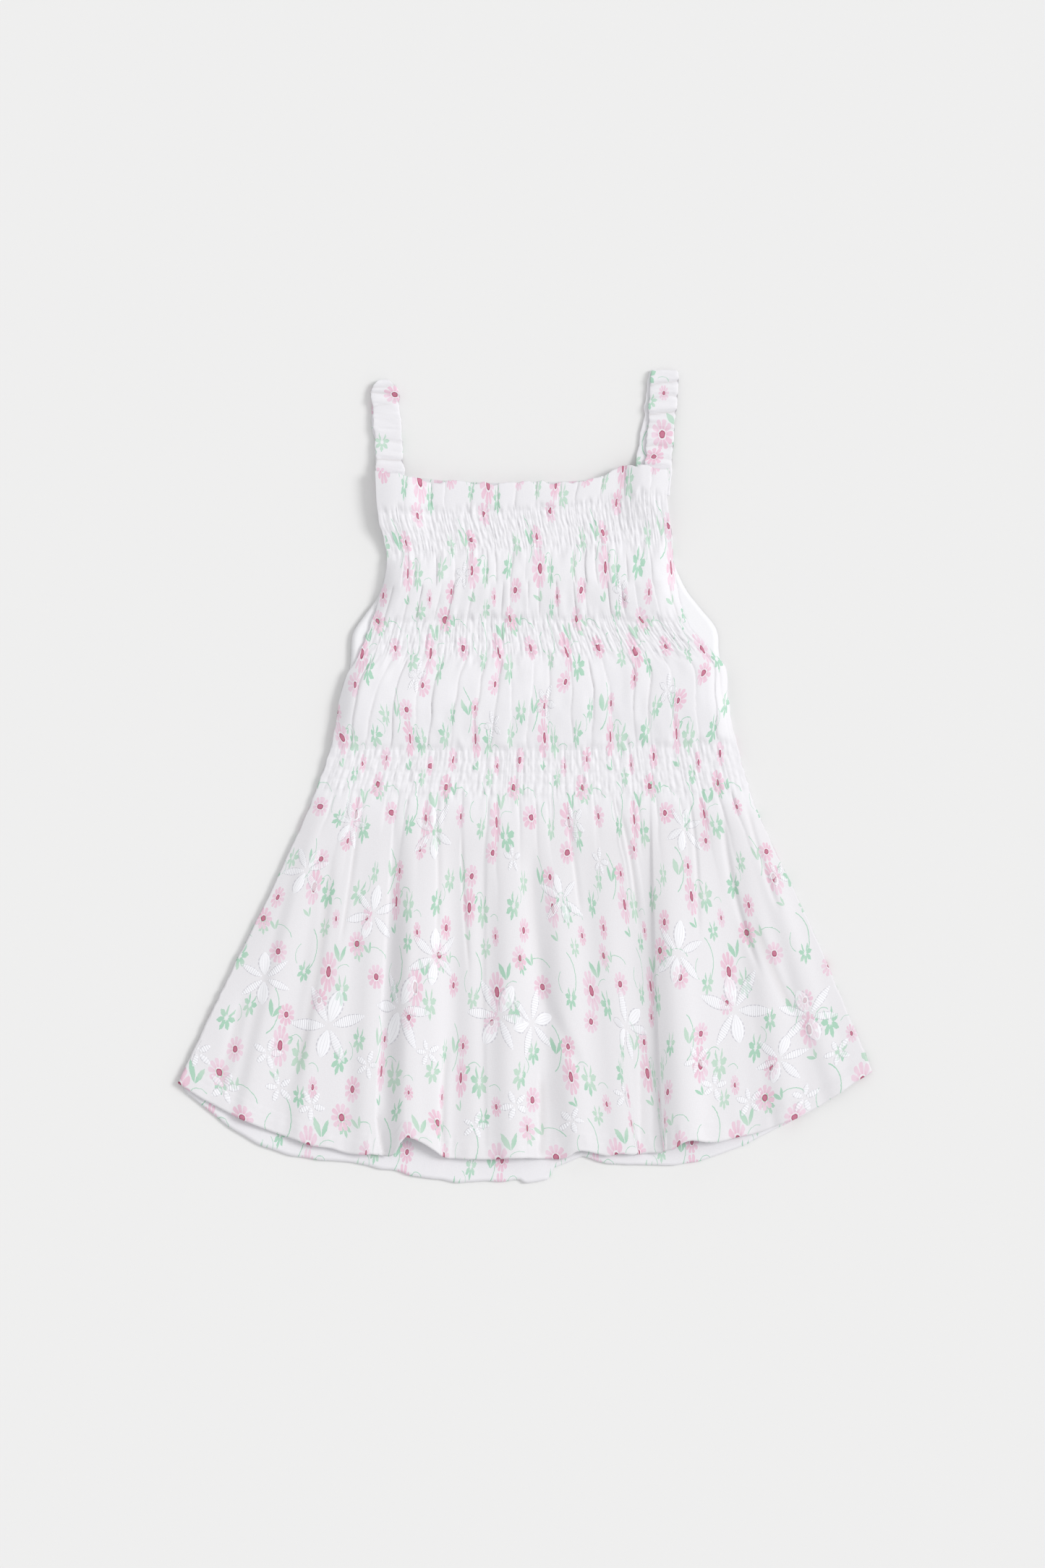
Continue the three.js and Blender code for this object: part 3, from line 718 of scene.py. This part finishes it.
def make_front():
    ends, counts = FRONT_ROWS.values()
    spans = zip([0, *ends], ends, counts)
    rows = [np.linspace(start, end, int(count) + 1)[1:] for start, end, count in spans]
    fine = np.linspace(0, 1, FRONT_COLUMNS + 1), np.concatenate([[0.0], *rows])
    coarse = np.linspace(0, 1, FRONT_COLUMNS // 3 + 1), np.linspace(0, HEM, 43)
    made = panel("front_panel", front_top, front_bottom, fine, coarse, front_cloth)
    places = [np.meshgrid(*face) for face in (fine, coarse)]
    thread = np.concatenate([across.ravel() for across, _ in places])
    down = np.concatenate([downs.ravel() for _, downs in places])
    # Painted shade in the troughs of the listed creases.
    trough_shade = creases(*front_place(thread, down))[1]
    # Painted shade in the creases of the pleats, header and gathers.
    pleat_crease_shade = CREASE_SHADE * front_relief(thread, down)[1]
    # Painted shade that greys the thin skirt below the waist.
    thin_skirt_shade = SHEER_SHADE * smooth(0, SHEER_FADE, down - WAIST_END)
    add_painted_shade(made, np.maximum.reduce([trough_shade, pleat_crease_shade, thin_skirt_shade]))
    return made


def make_back():
    """The back, whose underside has the smocking and so has the finer points."""
    downs = np.concatenate([np.linspace(0, 195, 131), np.linspace(198, 380, 40), np.linspace(382, HEM, 20)])
    fine = np.linspace(0, 1, 281), downs
    coarse = np.linspace(0, 1, 141), np.concatenate([np.linspace(0, 330, 40), np.linspace(336, HEM, 34)])
    return panel("back_panel", back_over, back_under, coarse, fine, back_cloth)


def make_lining():
    places = np.linspace(0, 1, 61), np.linspace(0, LINING["down"][-1], 61)
    lower = lining_at(LINING_UNDER)
    upper = lining_at(LINING_UNDER + LINING_WALL)
    return panel("lining_panel", upper, lower, places, places, lambda u, down: (u * 230, down))


def strap_path(strap):
    """Centres, outward directions and lengths along a strap: up the front, round the fold and down."""
    back_z = STRAP_THICKNESS / 2
    bend = (STRAP_THICKNESS + LAYER_GAP) / 2
    turn_y = strap["fold_y"] - bend - STRAP_THICKNESS / 2
    rows = strap["rows"]
    ys = np.linspace(rows["y"][0], turn_y, 150)
    angles = np.linspace(0, math.pi, TURN_RING)[1:-1]

    def leg(side, y, z, facing):
        over_back = STRAP_RAMP * (1 - smooth(STRAP_RAMP_FROM, STRAP_RAMP_FROM + STRAP_RAMP_LENGTH, y))
        centre = np.stack([read(rows, side, y, "y"), y, z + over_back], 1)
        return centre, np.tile((0, 0, facing), (len(y), 1))

    up, up_out = leg("front", ys, back_z + 2 * bend, 1)
    down, down_out = leg("back", ys[::-1], back_z, -1)
    out = np.stack([np.zeros_like(angles), np.sin(angles), np.cos(angles)], 1)
    share = (angles / math.pi)[:, None]
    turn = up[-1] * (1 - share) + down[0] * share
    turn[:, 2] = back_z + bend
    centres = np.vstack([up, turn + out * bend, down])
    outs = np.vstack([up_out, out, down_out])
    lengths = np.concatenate([[0], np.cumsum(np.linalg.norm(np.diff(centres, axis=0), axis=1))])
    return centres, outs, lengths


def strap_creases(strap, y, across):
    """Depth of a strap's creases, and how much painted shade each point has on the line of one."""
    depth, painted_shade = np.zeros_like(across + y), np.zeros_like(across + y)
    for at, deep, width, tilt in zip(*strap["creases"].values()):
        off = y + across * tilt * 0.5 - at + 0.8 * noise(across / 4, at, strap["seed"] + 4)
        depth += deep * (bell(off, width) - 0.35 * bell(off - 2.2 * width, 1.5 * width))
        painted_shade = np.maximum(painted_shade, deep * bell(off, 0.5))
    return depth, painted_shade


def make_strap(strap):
    """A gathered tube along the strap's path, pressed flat, with creases across its outer face."""
    centres, outs, lengths = strap_path(strap)
    angles = np.linspace(0, 2 * math.pi, TUBE_RING, endpoint=False)
    side, rise = (np.sign(v) * np.abs(v) ** STRAP_SQUARENESS for v in (np.cos(angles), np.sin(angles)))
    length, angle = np.meshgrid(lengths, angles, indexing="ij")
    seed = strap["seed"]
    edge = 0.75 * noise(length / 5, np.sin(angle) * 0.7 + 9, seed)
    edge = edge + 0.35 * noise(length / 2.2, np.cos(angle) + 7, seed + 1)
    y = centres[:, 1][:, None]
    from_fold = np.clip(1 - (strap["fold_y"] - y) / strap["rounding"], 0, 1)
    narrowing = strap["rounding"] * STRAP_NARROWS * (1 - np.sqrt(np.clip(1 - from_fold**2, 0, 1)))
    across = side[None, :] * (strap["width"] / 2 - 0.5 + edge * 0.8 - narrowing)
    crinkle = 0.3 * noise(length / 2.6, across / 9, seed + 2)
    crinkle = crinkle + 0.22 * noise(length / 1.3, across / 5, seed + 3)
    creased, painted_shade = strap_creases(strap, y, across)
    on_front = (outs[:, 2] > 0.2)[:, None]
    depth = 0.3 + crinkle + np.where(on_front, FRONT_CREASED, BACK_CREASED) * creased
    pressed = np.where(rise[None, :] > 0.3, np.clip(depth, -0.3, 1.5), 0)
    height = rise[None, :] * (STRAP_THICKNESS / 2) - pressed
    points = centres[:, None, :] + outs[:, None, :] * height[..., None]
    points[..., 0] += across
    points[..., 2] = np.maximum(points[..., 2], 0)
    rows = np.arange(len(centres) * TUBE_RING).reshape(len(centres), TUBE_RING)
    rows = np.hstack([rows, rows[:, :1]])
    faces = quads(rows, False)
    faces.append(tuple(int(v) for v in rows[0, :-1]))
    faces.append(tuple(int(v) for v in rows[-1, :-1][::-1]))
    around = np.where(rise > 0, across, np.sign(across) * (strap["width"] - np.abs(across)))
    uvs = np.stack([around + seed * 23, -length * STRAP_GATHERED + seed * 31], -1).reshape(-1, 2)
    made = link(strap["name"] + "_tube", points.reshape(-1, 3), faces, uvs)
    # Painted shade along the creases on the strap's outer face.
    add_painted_shade(made, STRAP_SHADE * (painted_shade * (rise > 0.3)).ravel())
    return made


# Print: a small repeat charted in millimetres of cloth, with y downwards. size is half a motif's
# width, tall is its height over its width and turn is in degrees.
REPEAT = (79, 103)
PRINT_START = (37, 1)
DAISIES = table(
    "x y size tall turn",
    "0 0 6.6 1.95 6, -4 18.5 6 1.2 -14, 38 -3 6.9 1.1 10, -26 52 6 2.05 4, -25.5 33 5.7 1.2 -8",
    "-1 69 3.2 2 5, 25.5 65 5.2 1.5 -6, 19.5 82 6.9 1.15 12",
)
HANDS = table(
    "x y size tall turn",
    "12 9 10.2 0.56 95, 60.5 4 7.5 0.67 80, 21 -17 7.6 0.62 110, 28 36 8.1 0.56 85",
    "-12 54 10.6 0.56 90, -9 76 6.9 0.62 90, 15.5 50 9.3 0.59 75",
)
LEAVES = table(
    "x y size tall turn",
    "7.5 -7 12 1 182, -18 45 6 1 300, -24 72 7 1 210, 31 -16 8 1 200, 44 38 11 1 170",
)
STEMS = table(
    "x y size tall turn",
    "-16 49 7 0.8 90, 37 -14 7 1.4 70, 19 44 5.5 1.2 10, -3 61 6 0.8 70, 12 -2 5 1.2 110",
    "57 -6 6 1.4 180",
)
BLADES = table("x y size tall turn", "-24 -10 13 1.4 0, 36 34 13 1.4 0")

# Embroidered flowers on the front: where each one's centre lies on the laid dress, the length of its
# petals and its turn in degrees.
BLOOMS = table(
    "x y reach turn",
    "-120 -152 18 12, -76 -141 19 25, -55 -110 16 0, -93 -84 15 8, 22 -75 14 -6, 92 -108 17 14",
    "127 -142 19 -10, -16 -146 17 30, 61 -152 15 50, -56 -34 15 -14, 96 -32 14 20, -106 -29 13 35",
    "172 -146 15 0, 4 -150 15 80, 154 -172 13 30, -158 -123 14 -20, -133 -58 14 15, 30 -28 11 45",
    "-157 -168 8.5 0, -150 -189 8 40, -96 -176 7.5 10, -130 -200 8 25, -59 -168 8 60",
    "-31 -213 7.5 15, -6 -200 8.5 -20, 28 -209 8 30, 60 -194 8 5, 104 -172 8.5 50, 114 -189 8.5 15",
    "136 -198 8.5 0, 169 -196 8 20, 189 -168 8 -10, -199 -168 8 35, -183 -190 8 0, 45 -52 8 20",
    "153 -60 8 -10, -8 -50 8 0, -38 122 9 10, 58 112 9 -20, -66 60 9 0, 12 44 10 25, 86 52 9 10",
    "-20 30 9 50",
)


def shade(r, g, b):
    """A colour given as it looks on screen, from 0 to 255."""
    levels = (c / 255 for c in (r, g, b))
    linear = [c / 12.92 if c <= 0.04045 else ((c + 0.055) / 1.055) ** 2.4 for c in levels]
    return (*linear, 1.0)


WHITE_CLOTH = shade(232, 231, 235)
# Painted shade: the beige-grey tone that the printed cloth darkens towards in troughs, creases and over the
# thin skirt.
PAINTED_SHADE_TONE = shade(205, 199, 194)
PINK_PALE = shade(233, 211, 224)
PINK = shade(232, 199, 215)
PINK_DEEP = shade(220, 160, 186)
MAUVE = shade(172, 88, 116)
MAUVE_PALE = shade(196, 122, 146)
LEAF = shade(194, 218, 204)
LEAF_MINT = shade(172, 210, 190)
THREAD_WHITE = shade(240, 240, 244)
# Painted shade: grey lines between the stitches and in the grooves between a filled petal's lines.
THREAD_SHADE_LINE = shade(210, 208, 215)
# Painted shade: grey dots in the needle holes along a petal's edge.
THREAD_HOLE_SHADE = shade(188, 186, 194)
LINING_WHITE = shade(240, 240, 243)
PALE_FLOOR = shade(232, 232, 232)

# Shapes in the thread, and in the print in units of a motif's size
STITCH = 1.5
FILLED_LINES = 5
PRINT_THROUGH = 0.45
DAISY_PETALS = 10
DAISY_RING = 0.37
DAISY_CENTRE = 0.27
DAISY_CORE = 0.19
LEAFLETS = 7
LEAFLET_HALF = 0.23
LEAFLET_MIDDLE = 0.58
STALK_HALF = 0.07
LEAF_SPREAD = math.radians(26)
LEAF_HALF = 0.15
ARC_RADIUS = 0.92
ARC_FROM = 0.5
BLADE_THICKNESS = 0.022
STEM_THICKNESS = 0.033


class Graph:
    """Adds nodes to a tree. An input is another node's output or a plain value."""

    def __init__(self, tree):
        self.tree = tree

    def add(self, kind, inputs=(), output=0, **settings):
        node = self.tree.nodes.new(kind)
        for name, value in settings.items():
            setattr(node, name, value)
        keyed = inputs.items() if isinstance(inputs, dict) else enumerate(inputs)
        for key, value in keyed:
            if isinstance(value, bpy.types.NodeSocket):
                self.tree.links.new(value, node.inputs[key])
            else:
                node.inputs[key].default_value = value
        return node.outputs[output]

    def math(self, operation, *inputs):
        return self.add("ShaderNodeMath", inputs, operation=operation)

    def times(self, a, b):
        return self.math("MULTIPLY", a, b)

    def less(self, a, b):
        return self.math("LESS_THAN", a, b)

    def size(self, a):
        return self.math("ABSOLUTE", a)

    def vector(self, operation, *inputs):
        output = 1 if operation == "LENGTH" else 0
        return self.add("ShaderNodeVectorMath", inputs, output, operation=operation)

    def millimetres(self, cloth):
        place = self.vector("SCALE", cloth)
        place.node.inputs["Scale"].default_value = 1 / MM
        return place

    def mix_vector(self, factor, a, b):
        return self.add("ShaderNodeMix", {0: factor, 4: a, 5: b}, 1, data_type="VECTOR")

    def mix_colour(self, factor, a, b, blend="MIX"):
        return self.add("ShaderNodeMix", {0: factor, 6: a, 7: b}, 2, data_type="RGBA", blend_type=blend)

    def range(self, value, start, end, low=0.0, high=1.0):
        inputs = {0: value, 1: start, 2: end, 3: low, 4: high}
        return self.add("ShaderNodeMapRange", inputs, interpolation_type="SMOOTHSTEP")

    def parts(self, vector):
        node = self.tree.nodes.new("ShaderNodeSeparateXYZ")
        self.tree.links.new(vector, node.inputs[0])
        return node.outputs[0], node.outputs[1]


def nearest(graph, place, motifs):
    """Where a place lies in the nearest of a row's motifs, in units of the motif's size."""
    half = (REPEAT[0] / 2, REPEAT[1] / 2, 1)
    best = length = None
    for x, y, size, tall, turn in zip(*motifs.values()):
        away = graph.vector("SUBTRACT", place, (x, y, 0))
        away = graph.vector("WRAP", away, half, tuple(-h for h in half))
        inputs = {0: away, 3: math.radians(turn)}
        away = graph.add("ShaderNodeVectorRotate", inputs, rotation_type="Z_AXIS")
        away = graph.vector("DIVIDE", away, (size, size * tall, 1))
        reach = graph.vector("LENGTH", away)
        if best is None:
            best, length = away, reach
            continue
        nearer = graph.less(reach, length)
        best = graph.mix_vector(nearer, best, away)
        length = graph.math("MINIMUM", reach, length)
    return best, length


def daisy(graph, place, tone, cloth):
    """Ten petals, parted by thin slits, round a dark centre that stands in a thin white ring."""
    spot, r = nearest(graph, place, DAISIES)
    x, y = graph.parts(spot)
    turned = graph.times(graph.math("ARCTAN2", y, x), DAISY_PETALS / 2)
    petal = graph.size(graph.math("COSINE", turned))
    tip = graph.math("MULTIPLY_ADD", graph.math("POWER", petal, 0.5), 0.3, 0.7)
    inside = graph.less(r, tip)
    slit = graph.less(petal, graph.range(r, 0.35, 1.0, 0.07, 0.56))
    streak = graph.times(graph.range(r, 0.7, 0.3), graph.math("POWER", petal, 3.0))
    pink = graph.mix_colour(tone, PINK_PALE, PINK)
    colour = graph.mix_colour(graph.times(streak, 0.5), pink, PINK_DEEP)
    colour = graph.mix_colour(graph.times(slit, 0.9), colour, cloth)
    colour = graph.mix_colour(inside, cloth, colour)
    for reach, inner in ((DAISY_RING, cloth), (DAISY_CENTRE, MAUVE), (DAISY_CORE, MAUVE_PALE)):
        colour = graph.mix_colour(graph.less(r, reach), colour, inner)
    return colour


def hand(graph, place, tone, under):
    """Leaflets round a stalk, with cloth showing between them."""
    spot, r = nearest(graph, place, HANDS)
    x, y = graph.parts(spot)
    angle = graph.math("DIVIDE", graph.math("ARCTAN2", y, x), 2 * math.pi)
    off = graph.math("SUBTRACT", graph.math("FRACT", graph.times(angle, LEAFLETS)), 0.5)
    aside = graph.times(graph.times(off, r), 2 * math.pi / LEAFLETS / LEAFLET_HALF)
    along = graph.math("DIVIDE", graph.math("SUBTRACT", r, LEAFLET_MIDDLE), 1 - LEAFLET_MIDDLE)
    squares = graph.math("ADD", graph.times(aside, aside), graph.times(along, along))
    notched = graph.math("MULTIPLY_ADD", graph.math("COSINE", graph.times(off, 22.0)), 0.15, 0.85)
    leaflet = graph.less(squares, notched)
    not_stalk = graph.math("GREATER_THAN", graph.size(angle), STALK_HALF)
    return graph.mix_colour(graph.times(leaflet, not_stalk), under, graph.mix_colour(tone, LEAF, LEAF_MINT))


def leaves(graph, place, tone, under):
    """A pair of pointed leaves, one shorter, that spread from one point."""
    spot, _ = nearest(graph, place, LEAVES)
    x, y = graph.parts(spot)
    x = graph.math("MAXIMUM", x, graph.times(x, -1.35))
    across, up = math.sin(LEAF_SPREAD), math.cos(LEAF_SPREAD)
    along = graph.math("ADD", graph.times(x, across), graph.times(y, up))
    aside = graph.math("SUBTRACT", graph.times(x, up), graph.times(y, across))
    middle = graph.math("MULTIPLY_ADD", along, 2.0, -1.1)
    room = graph.times(graph.math("SUBTRACT", 1.0, graph.times(middle, middle)), LEAF_HALF)
    inside = graph.less(graph.size(aside), room)
    return graph.mix_colour(inside, under, graph.mix_colour(tone, LEAF, LEAF_MINT))


def arcs(graph, place, motifs, thickness, under):
    """Thin curved lines: the stems and the blades of grass."""
    spot, r = nearest(graph, place, motifs)
    x, _ = graph.parts(spot)
    line = graph.less(graph.size(graph.math("SUBTRACT", r, ARC_RADIUS)), thickness)
    shown = graph.times(line, graph.math("GREATER_THAN", x, ARC_FROM))
    return graph.mix_colour(shown, under, LEAF_MINT)


def print_group():
    """The printed cloth's colour at a place on the flat cloth, given in metres."""
    tree = bpy.data.node_groups.new("Daisy print", "ShaderNodeTree")
    sockets = ("Cloth", "INPUT", "Vector"), ("Ground", "INPUT", "Color"), ("Colour", "OUTPUT", "Color")
    for name, way, kind in sockets:
        tree.interface.new_socket(name, in_out=way, socket_type="NodeSocket" + kind)
    source, result = tree.nodes.new("NodeGroupInput"), tree.nodes.new("NodeGroupOutput")
    graph = Graph(tree)
    place = graph.millimetres(source.outputs["Cloth"])
    wobble = graph.add("ShaderNodeTexNoise", {"Vector": place, "Scale": 0.5, "Detail": 1.0}, "Color")
    wobble = graph.vector("MULTIPLY", graph.vector("SUBTRACT", wobble, (0.5, 0.5, 0.5)), (0.9, 0.9, 0.0))
    place = graph.vector("ADD", place, wobble)
    patches = graph.add("ShaderNodeTexNoise", {"Vector": place, "Scale": 0.045, "Detail": 1.0}, "Fac")
    tone = graph.range(patches, 0.42, 0.6)
    place = graph.vector("SUBTRACT", place, (*PRINT_START, 0))
    colour = arcs(graph, place, BLADES, BLADE_THICKNESS, source.outputs["Ground"])
    colour = arcs(graph, place, STEMS, STEM_THICKNESS, colour)
    colour = leaves(graph, place, tone, colour)
    colour = hand(graph, place, tone, colour)
    colour = daisy(graph, place, tone, colour)
    tree.links.new(colour, result.inputs["Colour"])
    return tree


def material(name, roughness, sheen=0.0):
    made = bpy.data.materials.new(name)
    made.use_nodes = True
    shader = made.node_tree.nodes["Principled BSDF"]
    shader.inputs["Roughness"].default_value = roughness
    shader.inputs["Specular IOR Level"].default_value = 0.25
    shader.inputs["Sheen Weight"].default_value = sheen
    return made, Graph(made.node_tree), shader


def weave(graph, shader, distance):
    """Fine threads both ways, as a bump and a faint change of tone."""
    cloth = graph.add("ShaderNodeUVMap", uv_map="Cloth")
    place = graph.millimetres(cloth)
    height = None
    for stretch in ((3.2, 0.35, 1), (0.35, 3.2, 1)):
        vector = graph.vector("MULTIPLY", place, stretch)
        threads = graph.add("ShaderNodeTexNoise", {"Vector": vector, "Scale": 1.0, "Detail": 2.0}, "Fac")
        height = threads if height is None else graph.math("ADD", height, threads)
    inputs = {"Strength": 0.5, "Distance": distance * MM, "Height": height}
    bump = graph.add("ShaderNodeBump", inputs, "Normal")
    graph.tree.links.new(bump, shader.inputs["Normal"])
    return cloth, graph.range(height, 0.6, 1.4, 0.985, 1.015)


def toned(graph, shader, colour, tone):
    """The shader's colour, with the threads' faint change of tone."""
    grey = graph.add("ShaderNodeCombineColor", (tone, tone, tone))
    graph.tree.links.new(graph.mix_colour(1.0, colour, grey, "MULTIPLY"), shader.inputs["Base Color"])


def printed_colour(graph, print_tree, cloth, ground):
    node = graph.tree.nodes.new("ShaderNodeGroup")
    node.node_tree = print_tree
    graph.tree.links.new(cloth, node.inputs["Cloth"])
    node.inputs["Ground"].default_value = ground
    return node.outputs["Colour"]


def printed_material(name, print_tree):
    made, graph, shader = material(name, 0.86, 0.15)
    cloth, tone = weave(graph, shader, 0.12)
    # Painted shade: each point's amount darkens the print towards the painted shade tone.
    painted_shade = graph.add("ShaderNodeAttribute", (), "Fac", attribute_name="PaintedShade")
    colour = printed_colour(graph, print_tree, cloth, WHITE_CLOTH)
    painted_shade_colour = graph.mix_colour(1.0, colour, PAINTED_SHADE_TONE, "MULTIPLY")
    toned(graph, shader, graph.mix_colour(painted_shade, colour, painted_shade_colour), tone)
    return made


def plain_material(name, colour):
    made, graph, shader = material(name, 0.88, 0.1)
    _, tone = weave(graph, shader, 0.1)
    toned(graph, shader, colour, tone)
    return made


def thread_material(name, print_tree, hatched):
    """White satin stitches that run across a petal, or a filled petal with a few lines along it. The print
    shows through the thread. Painted shade lies in grey lines between the stitches or between the filled
    lines, and in grey dots for the needle holes along the pricked edge."""
    made, graph, shader = material(name, 0.6, 0.2)
    cloth = graph.add("ShaderNodeUVMap", uv_map="Cloth")
    petal = graph.add("ShaderNodeUVMap", uv_map="Petal")
    side, along = graph.parts(petal)
    along = graph.math("DIVIDE", along, MM)
    stitch = graph.math("SINE", graph.times(along, 2 * math.pi / STITCH))
    holes = graph.math("SINE", graph.times(along, 2 * math.pi / (2 * STITCH)))
    edge = graph.range(graph.size(side), 0.68, 0.9)
    # Painted shade in the needle holes along the petal's edge.
    hole_shade = graph.times(edge, graph.range(holes, -0.9, 0.3, 0.35, 1.0))
    # Painted shade lines: across the satin between stitches, or in the grooves between a filled petal's
    # lines.
    if hatched:
        shade_lines, height = graph.range(stitch, 0.5, 0.95), stitch
    else:
        line = graph.size(graph.math("SINE", graph.times(side, math.pi * FILLED_LINES / 2)))
        shade_lines, height = graph.range(line, 0.3, 0.0), graph.range(line, 0.0, 0.3)
    printed = printed_colour(graph, print_tree, cloth, THREAD_WHITE)
    colour = graph.mix_colour(PRINT_THROUGH, THREAD_WHITE, printed)
    colour = graph.mix_colour(graph.times(shade_lines, 0.5), colour, THREAD_SHADE_LINE)
    colour = graph.mix_colour(graph.times(hole_shade, 0.8), colour, THREAD_HOLE_SHADE)
    graph.tree.links.new(colour, shader.inputs["Base Color"])
    inputs = {"Strength": 0.5, "Distance": 0.2 * MM, "Height": height}
    graph.tree.links.new(graph.add("ShaderNodeBump", inputs, "Normal"), shader.inputs["Normal"])
    return made


# Embroidery

SMALL_BLOOM = 12
BLOOM_HEART = 0.12
PETAL_ACROSS = 10
PETAL_ALONG = 16
THREAD_HEIGHT = 0.28


def find_on_front(x, y):
    """The thread and the distance down at which the front lies at x and y."""
    thread, down = np.meshgrid(np.linspace(0, 1, 400), np.linspace(0, HEM, 400))
    grid_x, grid_y = front_place(thread.ravel(), down.ravel())
    nearest_point = [int(np.argmin((grid_x - a) ** 2 + (grid_y - b) ** 2)) for a, b in zip(x, y)]
    return thread.ravel()[nearest_point], down.ravel()[nearest_point]


def petal_count(bloom):
    return 6 if bloom["reach"] > SMALL_BLOOM else 5


def petal_points(bloom, number):
    """One petal's points on the flat cloth, its places across and along, and its height above the cloth."""
    random = np.random.default_rng(int(abs(bloom["x"]) * 7 + abs(bloom["y"]) * 5 + number))
    angle = math.radians(bloom["turn"] + 360 * number / petal_count(bloom) + random.uniform(-9, 9))
    large = bloom["reach"] > SMALL_BLOOM
    slim = not large or number % 3 != 0
    reach = bloom["reach"] * random.uniform(0.9, 1.1) * (1.35 if large and slim else 1.05)
    half = reach * ((0.15 if large else 0.25) if slim else 0.32)
    side, along = np.meshgrid(np.linspace(-1, 1, PETAL_ACROSS + 1), np.linspace(0, 1, PETAL_ALONG + 1))
    outline = np.sin(math.pi * along ** (1.0 if slim else 1.15)) ** (0.85 if slim else 0.7)
    out = bloom["reach"] * BLOOM_HEART + reach * along
    across = half * side * outline
    u = out * math.sin(angle) + across * math.cos(angle)
    v = -out * math.cos(angle) + across * math.sin(angle)
    rise = THREAD_HEIGHT * np.clip(1 - side**4, 0, 1) * np.minimum(1, outline * 1.6) - 0.05
    return slim, u, v, side, out, rise


def make_embroidery():
    """Two meshes of petals that lie on the front: satin stitched ones and filled ones."""
    threads, downs = find_on_front(BLOOMS["x"], BLOOMS["y"])
    parts = {True: ([], [], [], []), False: ([], [], [], [])}
    for index, (thread, down) in enumerate(zip(threads, downs)):
        bloom = {name: column[index] for name, column in BLOOMS.items()}
        for number in range(petal_count(bloom)):
            slim, u, v, side, out, rise = petal_points(bloom, number)
            at_down = np.clip(down + v, 2, HEM - 1)
            gathered = read(FRONT, "cloth", at_down)
            at_thread = np.clip(thread + u / gathered, 0.003, 0.997)
            x, y, z = front_top(at_thread.ravel(), at_down.ravel())
            points, cloths, petals, faces = parts[slim]
            first = sum(len(p) for p in points)
            rows = np.arange(side.size).reshape(side.shape) + first
            points.append(np.stack([x, y, z + rise.ravel()], 1))
            cloths.append(np.stack(front_cloth(at_thread.ravel(), at_down.ravel()), 1))
            petals.append(np.stack([side.ravel() / MM, out.ravel()], 1))
            faces.extend(quads(rows, True))
    made = []
    for slim, name in ((True, "embroidery_satin"), (False, "embroidery_filled")):
        points, cloths, petals, faces = parts[slim]
        item = link(name, np.vstack(points), faces, np.vstack(cloths))
        add_uvs(item.data, "Petal", np.vstack(petals))
        made.append(item)
    return made


def place_piece(item, made, slot=None, *nodes):
    item.data.materials.append(made)
    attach(item, "root")
    if nodes:
        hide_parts(*nodes)
    return item


daisy_print = print_group()
printed = printed_material("printed_cotton", daisy_print)
lining_cotton = plain_material("lining_cotton", LINING_WHITE)

front = place_piece(make_front(), printed, "printed_cotton", "front")
back = place_piece(make_back(), printed, "printed_cotton", "back")
lining = place_piece(make_lining(), lining_cotton, "lining_cotton", "bodice_lining")
for strap in STRAPS:
    place_piece(make_strap(strap), printed, "printed_cotton", strap["name"])
satin, filled = make_embroidery()
place_piece(satin, thread_material("satin_stitch", daisy_print, True))
place_piece(filled, thread_material("filled_stitch", daisy_print, False))


# Stage, light and camera

FRAME_HEIGHT = 2168 * 0.44
FRAME_CENTRE = (-1.8, -5.1)
CAMERA_HEIGHT = 3200
SENSOR = 36
ROOM_LIGHT = 0.76
KEY_LIGHT = 1.52
KEY_ANGLE = math.radians(22)
KEY_COLOUR = (1.0, 0.995, 0.985)
KEY_DIRECTION = (-0.74, -0.22, -0.64)
FLOOR_HALF = 4000
FLOOR_Z = -0.2


def make_floor():
    corners = [(x * FLOOR_HALF, y * FLOOR_HALF, FLOOR_Z) for x, y in ((-1, -1), (1, -1), (1, 1), (-1, 1))]
    floor = link("floor", corners, [(0, 1, 2, 3)])
    made, _, shader = material("pale_floor", 0.9)
    shader.inputs["Base Color"].default_value = PALE_FLOOR
    floor.data.materials.append(made)


def make_light():
    world = bpy.data.worlds.new("soft_room")
    world.use_nodes = True
    background = world.node_tree.nodes["Background"]
    background.inputs["Color"].default_value = (1, 1, 1, 1)
    background.inputs["Strength"].default_value = ROOM_LIGHT
    bpy.context.scene.world = world
    data = bpy.data.lights.new("key", "SUN")
    data.energy = KEY_LIGHT
    data.angle = KEY_ANGLE
    data.color = KEY_COLOUR
    item = shown("key", data)
    item.rotation_mode = "QUATERNION"
    item.rotation_quaternion = Vector(KEY_DIRECTION).to_track_quat("-Z", "Y")


def make_camera():
    data = bpy.data.cameras.new("camera")
    data.sensor_width = SENSOR
    data.lens = SENSOR * CAMERA_HEIGHT / FRAME_HEIGHT
    item = shown("camera", data)
    item.location = (FRAME_CENTRE[0] * MM, FRAME_CENTRE[1] * MM, CAMERA_HEIGHT * MM)
    bpy.context.scene.camera = item


make_floor()
make_light()
make_camera()
bpy.context.scene.view_settings.view_transform = "Standard"
